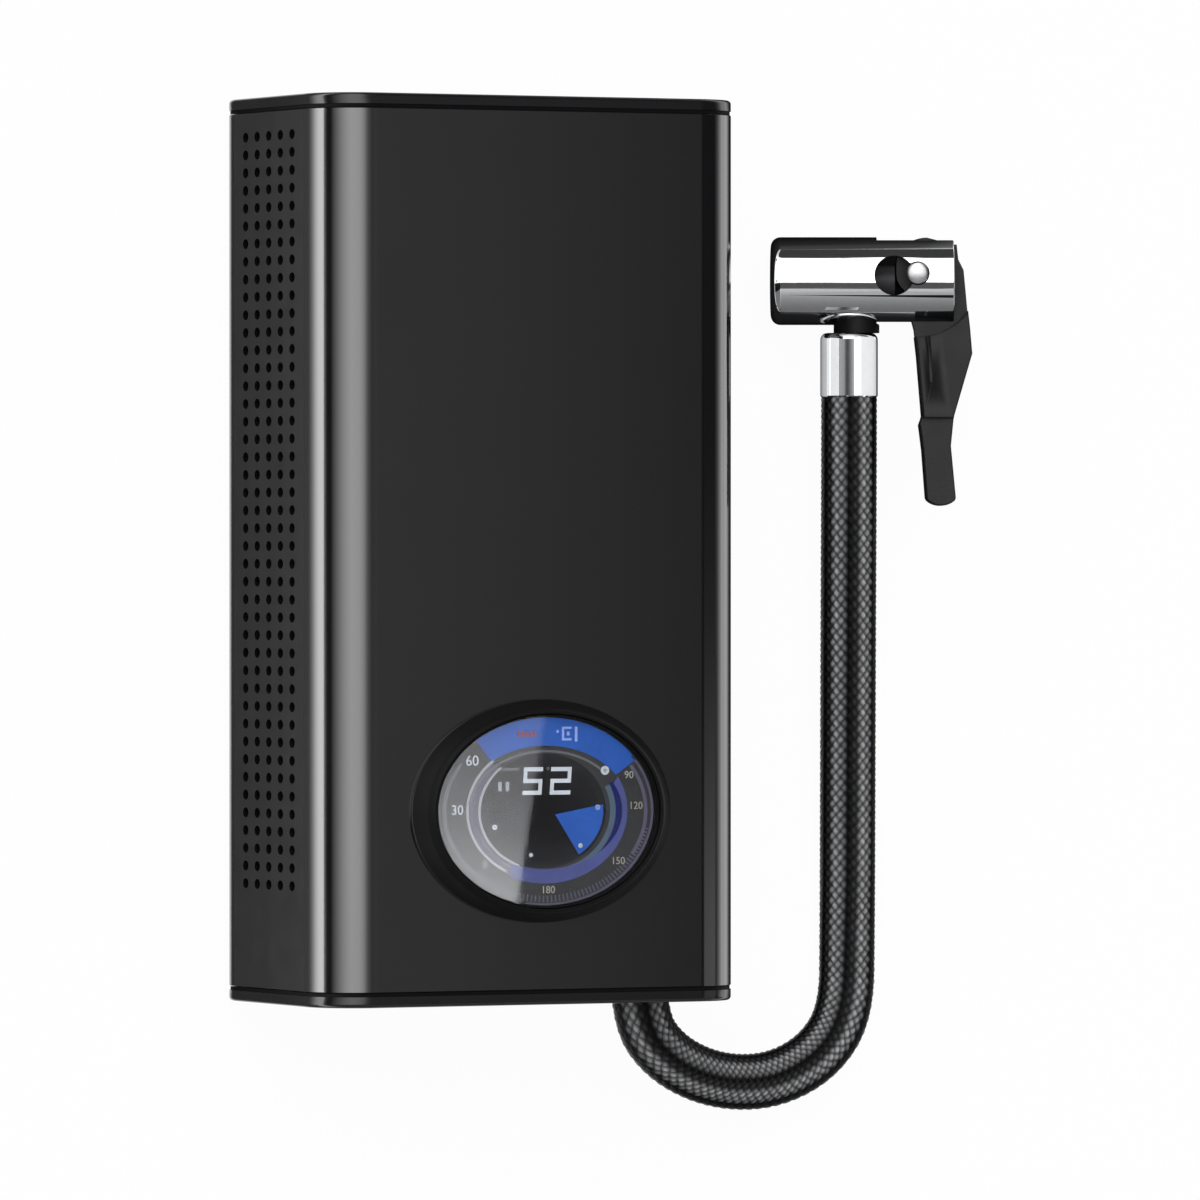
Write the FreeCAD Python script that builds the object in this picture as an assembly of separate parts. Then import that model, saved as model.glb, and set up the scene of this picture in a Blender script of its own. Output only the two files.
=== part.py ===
"""Cordless tire inflator with a braided hose and a lever chuck, in millimetres.

The inflator lies on its back. X runs across its width, Y along its length from the hose end to the
key end, and Z from the back face up through the gauge. The origin is the centre of the back face.
"""
import FreeCAD
import Part
import math
import os

# Casing
body_width = 85.5
body_length = 165.0
body_depth = 50.0
corner_radius = 10.0
wall = 1.8
cap_flange = 2.0
cap_groove = 0.6
groove_inset = 0.8
cap_edge_round = 0.7
fit_gap = 0.15
seat_gap = 0.1
table_gap = 0.1

# Vent holes in both side walls
vent_diameter = 2.1
vent_columns = 5
vent_column_pitch = 5.0
vent_rows = 43
vent_row_pitch = 3.24
vent_top_margin = 7.2

# Screws of the two caps, driven into ports in the casing's corners
screw_port_inset = 7.7
screw_port_radius = 2.6
screw_web_width = 2.4
screw_cross_length = 3.0
screw_cross_width = 0.6
screw_shank_radius = 1.2
screw_head_radius = 2.7
screw_head_height = 1.6
screw_length = 10.0
thread_clearance = 0.05

# Plug tabs of the caps
tab_depth = 2.9
tab_thickness = 1.6
tab_half_width = 26.0
tab_half_height = 11.0

# Gauge, an oval puck on the front face
gauge_length_x = 52.5
gauge_length_y = 40.6
gauge_height = 3.8
gauge_from_bottom = 35.2
gauge_slope_x = 2.65
gauge_slope_y = 1.8
gauge_lip = 0.6
neck_setback = 0.8
lens_length_x = 45.1
lens_length_y = 35.3
lens_thickness = 1.7
lens_rim = 0.6
lens_sink = 0.4
lens_foot = 0.5
dial_thickness = 0.8
neck_inset_x = 3.65
neck_inset_y = 2.9
neck_wall = 3.2
board_thickness = 1.4
retainer_thickness = 1.2
retainer_overlap = 2.4
gasket_width = 1.2
gasket_thickness = 0.5
gasket_setback = 1.2
small_screw_radius = 0.75
small_screw_depth = 3.4
small_screw_head_radius = 1.5
small_screw_head_height = 1.0

# Keys in the top cap
power_radius = 5.2
key_radius = 4.0
key_gap = 0.2
key_travel = 0.8
key_head_height = 2.6
key_flange = 1.0
key_flange_height = 1.1
key_stem_radius = 1.2
key_edge_round = 0.4
key_row_height = 32.0
key_places = {"power_button": -26.0, "mode_button": -13.0, "minus_button": 0.0, "plus_button": 13.0}
switch_size = 6.0
switch_height = 2.3
switch_base_height = 1.6
switch_setback = 4.2
switch_knob_radius = 1.5
switch_board_margin = 8.0
switch_board_drop = 5.5
torch_x = 29.0
torch_radius = 5.2
torch_depth = 6.0
torch_sink = 0.3
torch_lens_thickness = 2.1
torch_cup_floor = 1.2
torch_chip = 1.8
torch_chip_height = 0.7
torch_cone_foot = 1.6
torch_cup_wall = 0.6

# Boards and charging socket
control_board_height = 37.8
control_board_length = 64.0
control_board_setback = 4.8
pcb_thickness = 1.6
capacitor_x = 26.0
capacitor_setback = 11.3
capacitor_radius = 4.0
capacitor_height = 10.0
board_chips = [
    (-22.0, 16.3, 10.0, 10.0, 4.0),
    (-4.0, 20.3, 9.0, 9.0, 1.2),
    (14.0, 16.3, 6.0, 8.0, 2.0),
    (24.0, 16.3, 6.0, 8.0, 2.0),
    (-20.0, 36.3, 12.0, 6.0, 1.6),
    (10.0, 38.3, 14.0, 6.0, 1.6),
]
board_slot_depth = 2.2
board_slot_rib = 1.3
usb_width = 8.94
usb_height = 3.16
usb_length = 7.3
usb_shell = 0.3
usb_floor = 1.0
usb_tongue = 0.7
usb_tongue_width = 6.6
usb_tongue_setback = 0.8
usb_recess_margin = 1.7
usb_recess_depth = 1.2

# Battery of three round cells
cell_diameter = 18.4
cell_length = 65.0
cell_count = 3
cell_spacing = cell_diameter + 0.8
cell_gap = 0.1
cell_contact_radius = 3.0
cell_contact_height = 0.6
cell_end_room = 0.8
tray_floor = 2.0
tray_end_wall = 1.3
tray_side_wall = 1.4
tray_rib_height = 5.0
lead_radius = 0.8
motor_lead_radius = 0.7
strip_thickness = 0.25
strip_width = 8.0

# Motor and gears
gear_module = 0.65
pinion_teeth = 15
wheel_teeth = 45
gear_backlash = 0.09
gear_width = 4.5
motor_x = 6.5
motor_height = 24.0
motor_from_bottom = 49.5
motor_diameter = 28.0
motor_length = 36.0
motor_wall = 1.2
motor_end_wall = 2.0
motor_boss_radius = 5.0
motor_boss_length = 2.0
motor_screw_offset = 8.0
motor_screw_radius = 1.2
motor_screw_head = 2.6
motor_screw_head_height = 1.4
magnet_thickness = 2.35
magnet_gap = 0.05
magnet_end_room = 5.0
magnet_split = 4.0
rotor_gap = 0.5
rotor_end_room = 7.0
rotor_slots = 5
rotor_slot_width = 1.8
rotor_slot_floor = 4.5
motor_shaft_radius = 1.585
shaft_clearance = 0.03
fan_radius = 14.5
fan_blades = 7
fan_hub_radius = 4.0
fan_blade_thickness = 1.0
fan_blade_tilt = 35.0
fan_width = 3.8
fan_gap = 1.0
shaft_tail = 5.2

# Pump
frame_plate = 6.0
frame_half_height = 14.5
frame_crank_margin = 11.0
frame_foot_low_x = 16.0
frame_foot_high_x = 26.0
frame_foot_reach = 5.0
pad_thickness = 2.2
crank_pad_reach = (-9.0, 5.0)
motor_pad_reach = (3.5, 17.5)
motor_block_half = 9.0
motor_block_setback = 1.0
motor_block_length = 7.0
motor_block_gap = 0.05
fin_grooves = 4
fin_pitch = 4.6
fin_groove = 2.4
fin_depth = 1.2
fin_margin = 1.5
wheel_holes = 5
wheel_hole_radius = 2.4
wheel_hole_place = 9.5
crank_throw = 4.0
crank_shaft_radius = 2.5
crank_shaft_front = 2.2
crank_shaft_rear = 1.4
web_tail = 9.0
web_past_pin = 3.0
web_thickness = 2.9
web_gap = 0.1
web_half_height = 4.5
web_round = 8.0
web_round_offset = 1.0
bearing_radius = 5.0
bearing_width = 3.0
bearing_groove_outer = 4.3
bearing_groove_inner = 3.2
bearing_groove_depth = 0.3
clip_radius = 4.0
clip_gap = 0.2
clip_thickness = 0.8
crank_pin_radius = 2.0
open_pivot_gap = 0.4
cylinder_bore = 15.0
liner_wall = 1.5
liner_length = 15.0
piston_clearance = 0.05
piston_crown_gap = 0.5
rod_thickness = 4.0
rod_eye_radius = 5.0
rod_half_height = 2.5
rod_eye_gap = 0.1
piston_plate = 1.4
piston_seal_height = 1.5
piston_top_gap = 0.4
piston_low_gap = 0.6
piston_core_radius = 4.0
head_thickness = 5.5
head_half = 11.0
gasket_sheet = 0.5
gasket_hole_radius = 7.0
head_chamber_radius = 6.5
head_chamber_depth = 2.4
reed_radius = 4.5
reed_thickness = 0.3
valve_plate_thickness = 0.8
valve_hole_radius = 1.5
head_screw_offset = 8.4
head_screw_radius = 1.2
head_screw_head = 2.3
head_screw_depth = 7.5
head_screw_head_height = 1.8
head_screw_socket_radius = 1.0
head_screw_socket_depth = 1.0
sensor_half_x = 3.0
sensor_half_y = 3.5
sensor_height = 3.2
sensor_port_radius = 1.0
sensor_port_gap = 0.05
sensor_port_depth = 2.0
outlet_in_head = 3.2
outlet_bore = 1.2
barb_radius = 2.3
barb_length = 3.0
barb_hexagon = 3.2
barb_hexagon_length = 1.5
inner_hose_radius = 3.5

# Hose: where it leaves the bottom cap, and its route from there. Each step is a distance in X and Y
# from the exit, the share of the way down to the table, and the share of the way up to the chuck.
hose_diameter = 10.6
hose_exit_x = 33.0
hose_exit_height = motor_height
gland_flange = 2.8
gland_lip = 1.1
hose_hole_clearance = 0.3
hose_route = [
    (0.0, 6.0, 0.0, 0.0),
    (0.0, -4.0, 0.0, 0.0),
    (7.6, -11.8, 0.188, 0.0),
    (21.2, -16.7, 0.538, 0.0),
    (36.0, -17.3, 0.849, 0.0),
    (47.6, -12.8, 1.0, 0.0),
    (53.4, -4.5, 1.0, 0.0),
    (53.6, 10.9, 1.0, 0.0),
    (52.7, 39.2, 1.0, 0.239),
    (50.7, 73.2, 1.0, 0.742),
    (49.75, 97.6, 1.0, 1.0),
    (49.75, 111.3, 1.0, 1.0),
]

# Chuck: its own axes are U towards the lever, V along the hose, W out of the pin's head
chuck_roll = 26.0
chuck_radius = 8.25
chuck_mouth_u = -14.7
chuck_end_u = 19.5
chuck_mouth_round = 1.8
chuck_front_wall = 1.6
chuck_bore_radius = 6.6
chuck_slot_u = 5.2
chuck_slot_width = 6.4
chuck_end_round = 0.2
inlet_radius = 2.6
inlet_depth = 2.5
mouth_clearance = 0.3
mouth_depth = 3.0
window_left_u = 4.5
window_right_u = 10.4
window_low_v = -2.1
window_high_v = 3.9
pin_u = 12.6
pin_v = 1.3
pin_radius = 1.5
pin_clearance = 0.05
pin_head_radius = 2.1
pin_head_proud = 0.3
pin_head_gap = 0.15
pin_seat_depth = 1.7
pin_tail_sink = 0.4
pin_dome_round = 1.1
plunger_clearance = 0.1
plunger_front_u = -3.1
plunger_length = 6.6
plunger_stem_radius = 2.9
depressor_radius = 0.9
depressor_length = 3.3
seal_bore_radius = 4.05
seal_length = 6.5
seal_gap = 0.1
cam_radius = 3.8
cam_rise_per_radian = 1.91
cam_gap = 0.3
lever_angle = 90.0
lever_thickness = 6.0
lever_width = 12.4
grip_width = 10.0
lever_fork_gap = 0.54
grip_top_v = -25.8
lever_outer = [(19.6, 6.8), (20.1, 6.8), (20.4, 4.0), (21.4, 2.0), (22.1, -5.5), (22.5, -9.0),
               (22.9, -13.7), (19.5, -25.4), (18.95, -31.0), (19.9, -41.0)]
lever_tip = (17.2, -42.2)
lever_inner = [(14.4, -41.0), (13.7, -31.7), (13.1, -27.0), (13.7, -25.4), (12.75, -14.0),
               (12.2, -9.2)]
cam_back_angle = 205.0
cam_foot_angle = 230.0
ferrule_radius = 5.4
ferrule_length = 12.0
ferrule_round = 2.4
collar_radius = 4.3
collar_offset = 1.4
collar_sink = 0.1
collar_height = 1.6

# Worked out from the sizes above
half_width = body_width / 2
half_length = body_length / 2
mid_height = body_depth / 2
sleeve_half = half_length - cap_flange - cap_groove
inner_half_width = half_width - wall
inner_low = wall
inner_high = body_depth - wall
gauge_y = -half_length + gauge_from_bottom
motor_face_y = -half_length + motor_from_bottom
crank_x = motor_x - gear_module * (pinion_teeth + wheel_teeth) / 2
frame_front_y = motor_face_y - frame_plate
gear_back_y = frame_front_y - 1.0
gear_front_y = gear_back_y - gear_width
liner_radius = cylinder_bore / 2 + liner_wall
cylinder_y = gear_front_y - 1.0 - liner_radius
hose_exit_y = -half_length
gland_radius = hose_diameter / 2 + gland_lip
head_low_x = hose_exit_x - outlet_in_head
cylinder_end_x = head_low_x - gasket_sheet - valve_plate_thickness
motor_rear_y = motor_face_y + motor_length
control_board_low_y = half_length - control_board_setback - control_board_length
usb_z = control_board_height + pcb_thickness + usb_height / 2
roll = math.radians(chuck_roll)
chuck_rim = chuck_radius - chuck_mouth_round
fork_low_v = math.sqrt(chuck_radius ** 2 - chuck_slot_width ** 2 / 4)
lever_clear_radius = math.hypot(chuck_end_u - pin_u, fork_low_v + pin_v) + lever_fork_gap
chuck_lift = chuck_mouth_round + chuck_rim * math.cos(roll)
chuck_z = table_gap + chuck_lift - (chuck_mouth_u + chuck_mouth_round) * math.sin(roll)

V = FreeCAD.Vector
ACROSS = V(1, 0, 0)
ALONG = V(0, 1, 0)
UP = V(0, 0, 1)


def box(low_x, high_x, low_y, high_y, low_z, high_z):
    """A block between two corners."""
    return Part.makeBox(high_x - low_x, high_y - low_y, high_z - low_z, V(low_x, low_y, low_z))


def rod_y(x, z, radius, low_y, high_y):
    """A round bar along Y."""
    return Part.makeCylinder(radius, high_y - low_y, V(x, low_y, z), ALONG)


def rod_x(y, z, radius, low_x, high_x):
    """A round bar along X."""
    return Part.makeCylinder(radius, high_x - low_x, V(low_x, y, z), ACROSS)


def rod_z(x, y, radius, low_z, high_z):
    """A round bar along Z."""
    return Part.makeCylinder(radius, high_z - low_z, V(x, y, low_z), UP)


def outline_prism(width, height, radius, low_y, high_y, centre_x=0.0, centre_z=mid_height):
    """A rectangle with round corners in the XZ plane, pulled along Y."""
    block = box(centre_x - width / 2, centre_x + width / 2, low_y, high_y,
                centre_z - height / 2, centre_z + height / 2)
    corners = [edge for edge in block.Edges if abs(edge.tangentAt(edge.FirstParameter).y) > 0.9]
    return block.makeFillet(radius, corners)


def casing_prism(inset, low_y, high_y):
    """The casing's outline, drawn in all round by an inset."""
    return outline_prism(body_width - 2 * inset, body_depth - 2 * inset, corner_radius - inset,
                         low_y, high_y)


def oval_wire(length_x, length_y, z):
    """The rim of an oval that lies level at the gauge's centre."""
    ellipse = Part.Ellipse(V(0, gauge_y, z), length_x / 2, length_y / 2)
    return Part.Wire([ellipse.toShape()])


def oval_stack(*levels):
    """A solid through oval rims, each given as a length in X, a length in Y and a height."""
    return Part.makeLoft([oval_wire(*level) for level in levels], True, True)


def oval_disc(length_x, length_y, low_z, high_z):
    """An upright oval disc at the gauge's centre."""
    return Part.Face(oval_wire(length_x, length_y, low_z)).extrude(V(0, 0, high_z - low_z))


def joined(shapes):
    """One solid out of shapes that overlap or touch."""
    whole = shapes[0].fuse(shapes[1:]) if len(shapes) > 1 else shapes[0]
    return whole.removeSplitter()


def save(name, *solids):
    """Write one node from its separate solids."""
    parts = [solid for shape in solids for solid in shape.Solids]
    shape = parts[0] if len(parts) == 1 else Part.makeCompound(parts)
    if not shape.isValid():
        print("not valid:", name)
    shape.exportStep("parts/" + name + ".step")


def port_places():
    """The four screw ports, as X, Z and the two signs that point to the corner."""
    reach = half_width - screw_port_inset
    for side_x in (-1, 1):
        for side_z in (-1, 1):
            yield side_x * reach, mid_height + side_z * (mid_height - screw_port_inset), side_x, side_z


def casing_sleeve():
    """The extruded casing: four walls, screw ports, board slots and the perforated sides."""
    sleeve = casing_prism(0.0, -sleeve_half, sleeve_half)
    sleeve = sleeve.cut(casing_prism(wall, -sleeve_half, sleeve_half))
    extras = []
    for x, z, side_x, side_z in port_places():
        web = box(0, corner_radius, -sleeve_half, sleeve_half, -screw_web_width / 2, screw_web_width / 2)
        web.rotate(V(0, 0, 0), ALONG, -math.degrees(math.atan2(side_z, side_x)))
        web.translate(V(x, 0, z))
        extras.append(web.common(casing_prism(wall / 2, -sleeve_half, sleeve_half)))
        extras.append(rod_y(x, z, screw_port_radius, -sleeve_half, sleeve_half))
    slot_low = control_board_height - seat_gap
    slot_high = control_board_height + pcb_thickness + seat_gap
    for side in (-1, 1):
        outer = side * (inner_half_width + wall / 2)
        inner = side * (inner_half_width - board_slot_depth)
        for low_z in (slot_low - board_slot_rib, slot_high):
            extras.append(box(min(outer, inner), max(outer, inner), -sleeve_half, sleeve_half,
                              low_z, low_z + board_slot_rib))
    sleeve = joined([sleeve] + extras)
    bores = [rod_y(x, z, screw_shank_radius + thread_clearance, -sleeve_half, sleeve_half)
             for x, z, side_x, side_z in port_places()]
    window = oval_disc(gauge_length_x - 2 * neck_inset_x + 2 * fit_gap,
                       gauge_length_y - 2 * neck_inset_y + 2 * fit_gap, inner_high - 1, body_depth + 1)
    vents = []
    for row in range(vent_rows):
        y = half_length - vent_top_margin - row * vent_row_pitch
        for column in range(vent_columns):
            z = mid_height + (column - (vent_columns - 1) / 2) * vent_column_pitch
            vents.append(rod_x(y, z, vent_diameter / 2, -half_width - 1, half_width + 1))
    return sleeve.cut(Part.makeCompound(bores + [window])).cut(Part.makeCompound(vents))


def blank_cap(side):
    """An end cap with its groove neck, plug tabs and screw holes; side is 1 at the top, -1 below."""
    outer, neck, inner = side * half_length, side * (half_length - cap_flange), side * sleeve_half
    plate = casing_prism(0.0, min(outer, neck), max(outer, neck))
    rim = [edge for edge in plate.Edges if all(abs(v.Y - outer) < 0.01 for v in edge.Vertexes)]
    plate = plate.makeFillet(cap_edge_round, rim)
    tip = side * (sleeve_half - tab_depth)
    low, high = min(inner, tip), max(inner, tip)
    face_low, face_high = inner_low + fit_gap, inner_high - fit_gap
    edge_x = inner_half_width - fit_gap
    solids = [plate, casing_prism(groove_inset, min(neck, inner), max(neck, inner))]
    solids.append(box(-tab_half_width, tab_half_width, low, high, face_low, face_low + tab_thickness))
    solids.append(box(-tab_half_width, tab_half_width, low, high, face_high - tab_thickness, face_high))
    for way in (-1, 1):
        sides = sorted((way * edge_x, way * (edge_x - tab_thickness)))
        solids.append(box(sides[0], sides[1], low, high, mid_height - tab_half_height,
                          mid_height + tab_half_height))
    cap = joined(solids)
    for x, z, side_x, side_z in port_places():
        start = V(x, outer, z)
        cap = cap.cut(Part.makeCylinder(screw_shank_radius + 0.2, cap_flange + cap_groove, start,
                                        V(0, -side, 0)))
        cap = cap.cut(Part.makeCone(screw_head_radius + 0.1, screw_shank_radius + 0.2,
                                    screw_head_height, start, V(0, -side, 0)))
    return cap


def cap_screws(side):
    """Four countersunk screws, heads level with the cap, with a cross recess."""
    screws = []
    for x, z, side_x, side_z in port_places():
        start = V(x, side * half_length, z)
        inward = V(0, -side, 0)
        head = Part.makeCone(screw_head_radius, screw_shank_radius, screw_head_height, start, inward)
        shank = Part.makeCylinder(screw_shank_radius, screw_length, start, inward)
        screw = head.fuse(shank)
        low, high = sorted((side * half_length, side * (half_length - 1.0)))
        for length, width in ((screw_cross_length, screw_cross_width),
                              (screw_cross_width, screw_cross_length)):
            screw = screw.cut(box(x - length / 2, x + length / 2, low, high, z - width / 2, z + width / 2))
        screws.append(screw)
    return screws


def bottom_cap():
    """The hose end's cap, with the hose's hole and the socket for its gland."""
    cap = blank_cap(-1)
    seat_y = hose_exit_y + hose_route[0][1] - seat_gap
    boss_top = seat_y + gland_flange
    boss = rod_y(hose_exit_x, hose_exit_height, gland_radius + gland_lip, -sleeve_half, boss_top)
    boss = boss.common(casing_prism(wall + fit_gap, -sleeve_half, boss_top))
    hole = rod_y(hose_exit_x, hose_exit_height, hose_diameter / 2 + hose_hole_clearance,
                 hose_exit_y, boss_top)
    seat = rod_y(hose_exit_x, hose_exit_height, gland_radius + seat_gap, seat_y, boss_top)
    return joined([cap, boss]).cut(hole).cut(seat)


def top_cap():
    """The key end's cap, with holes for the keys, the torch and the charging socket."""
    cap = blank_cap(1)
    inner, outer = sleeve_half - 0.01, half_length
    for name, x in key_places.items():
        cap = cap.cut(rod_y(x, key_row_height, key_size(name) + key_gap, inner, outer))
    cap = cap.cut(rod_y(torch_x, key_row_height, torch_radius + seat_gap, inner, outer))
    slot = stadium_y(usb_width + 0.6, usb_height + 0.6, inner, outer)
    recess = stadium_y(usb_width + 2 * usb_recess_margin, usb_height + 2 * usb_recess_margin,
                       outer - usb_recess_depth, outer)
    return cap.cut(slot).cut(recess)


def key_size(name):
    """The radius of a key."""
    return power_radius if name == "power_button" else key_radius


def key(name, x):
    """A round key: crowned head, a flange that the cap holds back, and a stem to its switch."""
    radius = key_size(name)
    top = half_length
    head = rod_y(x, key_row_height, radius, top - key_head_height, top)
    rim = [edge for edge in head.Edges if all(abs(v.Y - top) < 0.01 for v in edge.Vertexes)]
    head = head.makeFillet(key_edge_round, [rim[0]])
    flange_top = sleeve_half - key_gap
    flange = rod_y(x, key_row_height, radius + key_flange, flange_top - key_flange_height, flange_top)
    stem_tip = switch_top_y() + key_travel + key_gap
    stem = rod_y(x, key_row_height, key_stem_radius, stem_tip, flange_top)
    neck = rod_y(x, key_row_height, radius, flange_top - 0.1, top - key_head_height + 0.1)
    return joined([head, neck, flange, stem])


def switch_top_y():
    """The top of the tactile switches under the keys."""
    return sleeve_half - switch_setback


def switch_board():
    """The board under the keys."""
    back = switch_top_y() - switch_height - pcb_thickness
    return box(min(key_places.values()) - switch_board_margin,
               max(key_places.values()) + switch_board_margin, back, back + pcb_thickness,
               key_row_height - switch_board_drop, control_board_height - 2 * seat_gap)


def tactile_switches():
    """One switch under each key, a square base with a round knob."""
    switches = []
    base_y = switch_top_y() - switch_height
    half = switch_size / 2
    for x in key_places.values():
        base = box(x - half, x + half, base_y, base_y + switch_base_height, key_row_height - half,
                   key_row_height + half)
        knob = rod_y(x, key_row_height, switch_knob_radius, base_y + 0.1, base_y + switch_height)
        switches.append(joined([base, knob]))
    return switches


def torch_lens():
    """The clear disc of the work light."""
    top = half_length - torch_sink
    return rod_y(torch_x, key_row_height, torch_radius, top - torch_lens_thickness, top)


def torch_cup_top():
    """The mouth of the reflector, just under its lens."""
    return half_length - torch_sink - torch_lens_thickness - seat_gap


def torch_reflector():
    """The light's cup with its cone."""
    top = torch_cup_top()
    cup = rod_y(torch_x, key_row_height, torch_radius, top - torch_depth, top)
    cone = Part.makeCone(torch_cone_foot, torch_radius - torch_cup_wall, torch_depth - torch_cup_floor,
                         V(torch_x, top - torch_depth + torch_cup_floor, key_row_height), ALONG)
    return cup.cut(cone)


def torch_light():
    """The light chip at the bottom of the cup."""
    floor_y = torch_cup_top() - torch_depth + torch_cup_floor
    half = torch_chip / 2
    return box(torch_x - half, torch_x + half, floor_y, floor_y + torch_chip_height,
               key_row_height - half, key_row_height + half)


def stadium_y(width, height, low_y, high_y):
    """A slot shape with round ends, centred on the charging socket."""
    return outline_prism(width, height, height / 2 - 0.001, low_y, high_y, 0.0, usb_z)


def charge_port():
    """The charging socket's shell, with its tongue."""
    outer_y = half_length - usb_recess_depth
    back_y = outer_y - usb_length
    shell = stadium_y(usb_width, usb_height, back_y, outer_y)
    shell = shell.cut(stadium_y(usb_width - 2 * usb_shell, usb_height - 2 * usb_shell,
                                back_y + usb_floor, outer_y))
    tongue = box(-usb_tongue_width / 2, usb_tongue_width / 2, back_y + usb_floor - 0.1,
                 outer_y - usb_tongue_setback, usb_z - usb_tongue / 2, usb_z + usb_tongue / 2)
    return joined([shell, tongue])


def control_board():
    """The main board, held in the casing's slots."""
    edge_x = inner_half_width - 0.3
    return box(-edge_x, edge_x, control_board_low_y, control_board_low_y + control_board_length,
               control_board_height, control_board_height + pcb_thickness)


def board_parts():
    """Chips and a coil on the main board, and two capacitors under it."""
    top = control_board_height + pcb_thickness
    parts = []
    for x, setback, width, length, height in board_chips:
        y = control_board_low_y + setback
        parts.append(box(x - width / 2, x + width / 2, y - length / 2, y + length / 2, top, top + height))
    for x in (-capacitor_x, capacitor_x):
        parts.append(rod_z(x, control_board_low_y + capacitor_setback, capacitor_radius,
                           control_board_height - capacitor_height, control_board_height))
    return parts


def cell_centres():
    """The X of each cell."""
    return [(number - (cell_count - 1) / 2) * cell_spacing for number in range(cell_count)]


def cell_height():
    """The height of the cells' axes over the back face."""
    return wall + seat_gap + tray_floor + cell_gap + cell_diameter / 2


def cell_top_y():
    """The upper end of the cells."""
    return sleeve_half - tab_depth - tray_end_wall - cell_end_room


def battery_cells():
    """Round cells side by side, each with its raised contact."""
    cells = []
    top = cell_top_y()
    for x in cell_centres():
        can = rod_y(x, cell_height(), cell_diameter / 2, top - cell_length, top - cell_contact_height)
        contact = rod_y(x, cell_height(), cell_contact_radius, top - cell_contact_height - 0.1, top)
        cells.append(joined([can, contact]))
    return cells


def battery_strips():
    """Welded strips that join the cells' ends."""
    top = cell_top_y()
    low = top - cell_length - strip_thickness
    z = cell_height()
    xs = cell_centres()
    reach = strip_width / 2
    narrow = cell_contact_radius
    first = box(xs[0] - reach, xs[1] + reach, low, low + strip_thickness, z - reach, z + reach)
    second = box(xs[1] - narrow, xs[2] + narrow, top, top + strip_thickness, z - narrow, z + narrow)
    return [first, second]


def tray_half_width():
    """Half the battery tray's width."""
    return cell_centres()[-1] + cell_diameter / 2 + tray_side_wall


def battery_tray():
    """The cradle under the cells, with a wall at each end."""
    top = cell_top_y() + strip_thickness + cell_gap
    bottom = cell_top_y() - cell_length - strip_thickness - cell_gap
    low = wall + seat_gap
    tray = box(-tray_half_width(), tray_half_width(), bottom - tray_end_wall, top + tray_end_wall, low,
               cell_height())
    room = [rod_y(x, cell_height(), cell_diameter / 2 + cell_gap, bottom, top) for x in cell_centres()]
    room.append(box(cell_centres()[0], cell_centres()[-1], bottom, top,
                    low + tray_floor + tray_rib_height, cell_height()))
    tray = tray.common(casing_prism(wall + seat_gap, -sleeve_half, sleeve_half))
    for x, z, side_x, side_z in port_places():
        if side_z < 0:
            room.append(rod_y(x, z, screw_port_radius + seat_gap, -sleeve_half, sleeve_half))
    return tray.cut(joined(room))


def gear(x, z, teeth, turn, low_y, high_y, bore_radius):
    """A spur gear with involute flanks, turned so that a tooth's middle is at the angle turn."""
    pressure = math.radians(20.0)
    pitch = gear_module * teeth / 2
    base = pitch * math.cos(pressure)
    tip = pitch + 0.9 * gear_module
    root = pitch - 1.25 * gear_module
    middle = math.pi / (2 * teeth) - gear_backlash / (2 * pitch)

    def half_angle(radius):
        """Half the tooth's width at a radius, as an angle."""
        slope = math.acos(min(1.0, base / radius))
        return middle + math.tan(pressure) - pressure - (math.tan(slope) - slope)

    def place(radius, angle):
        """A point of the outline."""
        return V(x + radius * math.cos(angle), low_y, z + radius * math.sin(angle))

    foot = max(base, root)
    radii = [foot + (tip - foot) * step / 4 for step in range(5)]
    edges = []
    last = None
    first = None
    for tooth in range(teeth):
        centre = turn + 2 * math.pi * tooth / teeth
        rising = [place(r, centre - half_angle(r)) for r in radii]
        falling = [place(r, centre + half_angle(r)) for r in reversed(radii)]
        foot_in = place(root, centre - half_angle(foot))
        foot_out = place(root, centre + half_angle(foot))
        if last is None:
            first = foot_in
        else:
            edges.append(Part.LineSegment(last, foot_in).toShape())
        if foot > root + 0.001:
            edges.append(Part.LineSegment(foot_in, rising[0]).toShape())
        edges.append(flank(rising))
        edges.append(Part.LineSegment(rising[-1], falling[0]).toShape())
        edges.append(flank(falling))
        if foot > root + 0.001:
            edges.append(Part.LineSegment(falling[-1], foot_out).toShape())
            last = foot_out
        else:
            last = falling[-1]
    edges.append(Part.LineSegment(last, first).toShape())
    blank = Part.Face(Part.Wire(edges)).extrude(V(0, high_y - low_y, 0))
    return blank.cut(rod_y(x, z, bore_radius, low_y, high_y))


def flank(points):
    """A smooth curve through a flank's points."""
    curve = Part.BSplineCurve()
    curve.interpolate(points)
    return curve.toShape()


def frame_low_z():
    """The underside of the pump's frame, on its rubber pads."""
    return wall + pad_thickness


def frame_foot(low_z, high_z):
    """The block under the cylinder, between two heights."""
    return box(frame_foot_low_x, frame_foot_high_x, cylinder_y - frame_foot_reach,
               cylinder_y + frame_foot_reach, low_z, high_z)


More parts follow.
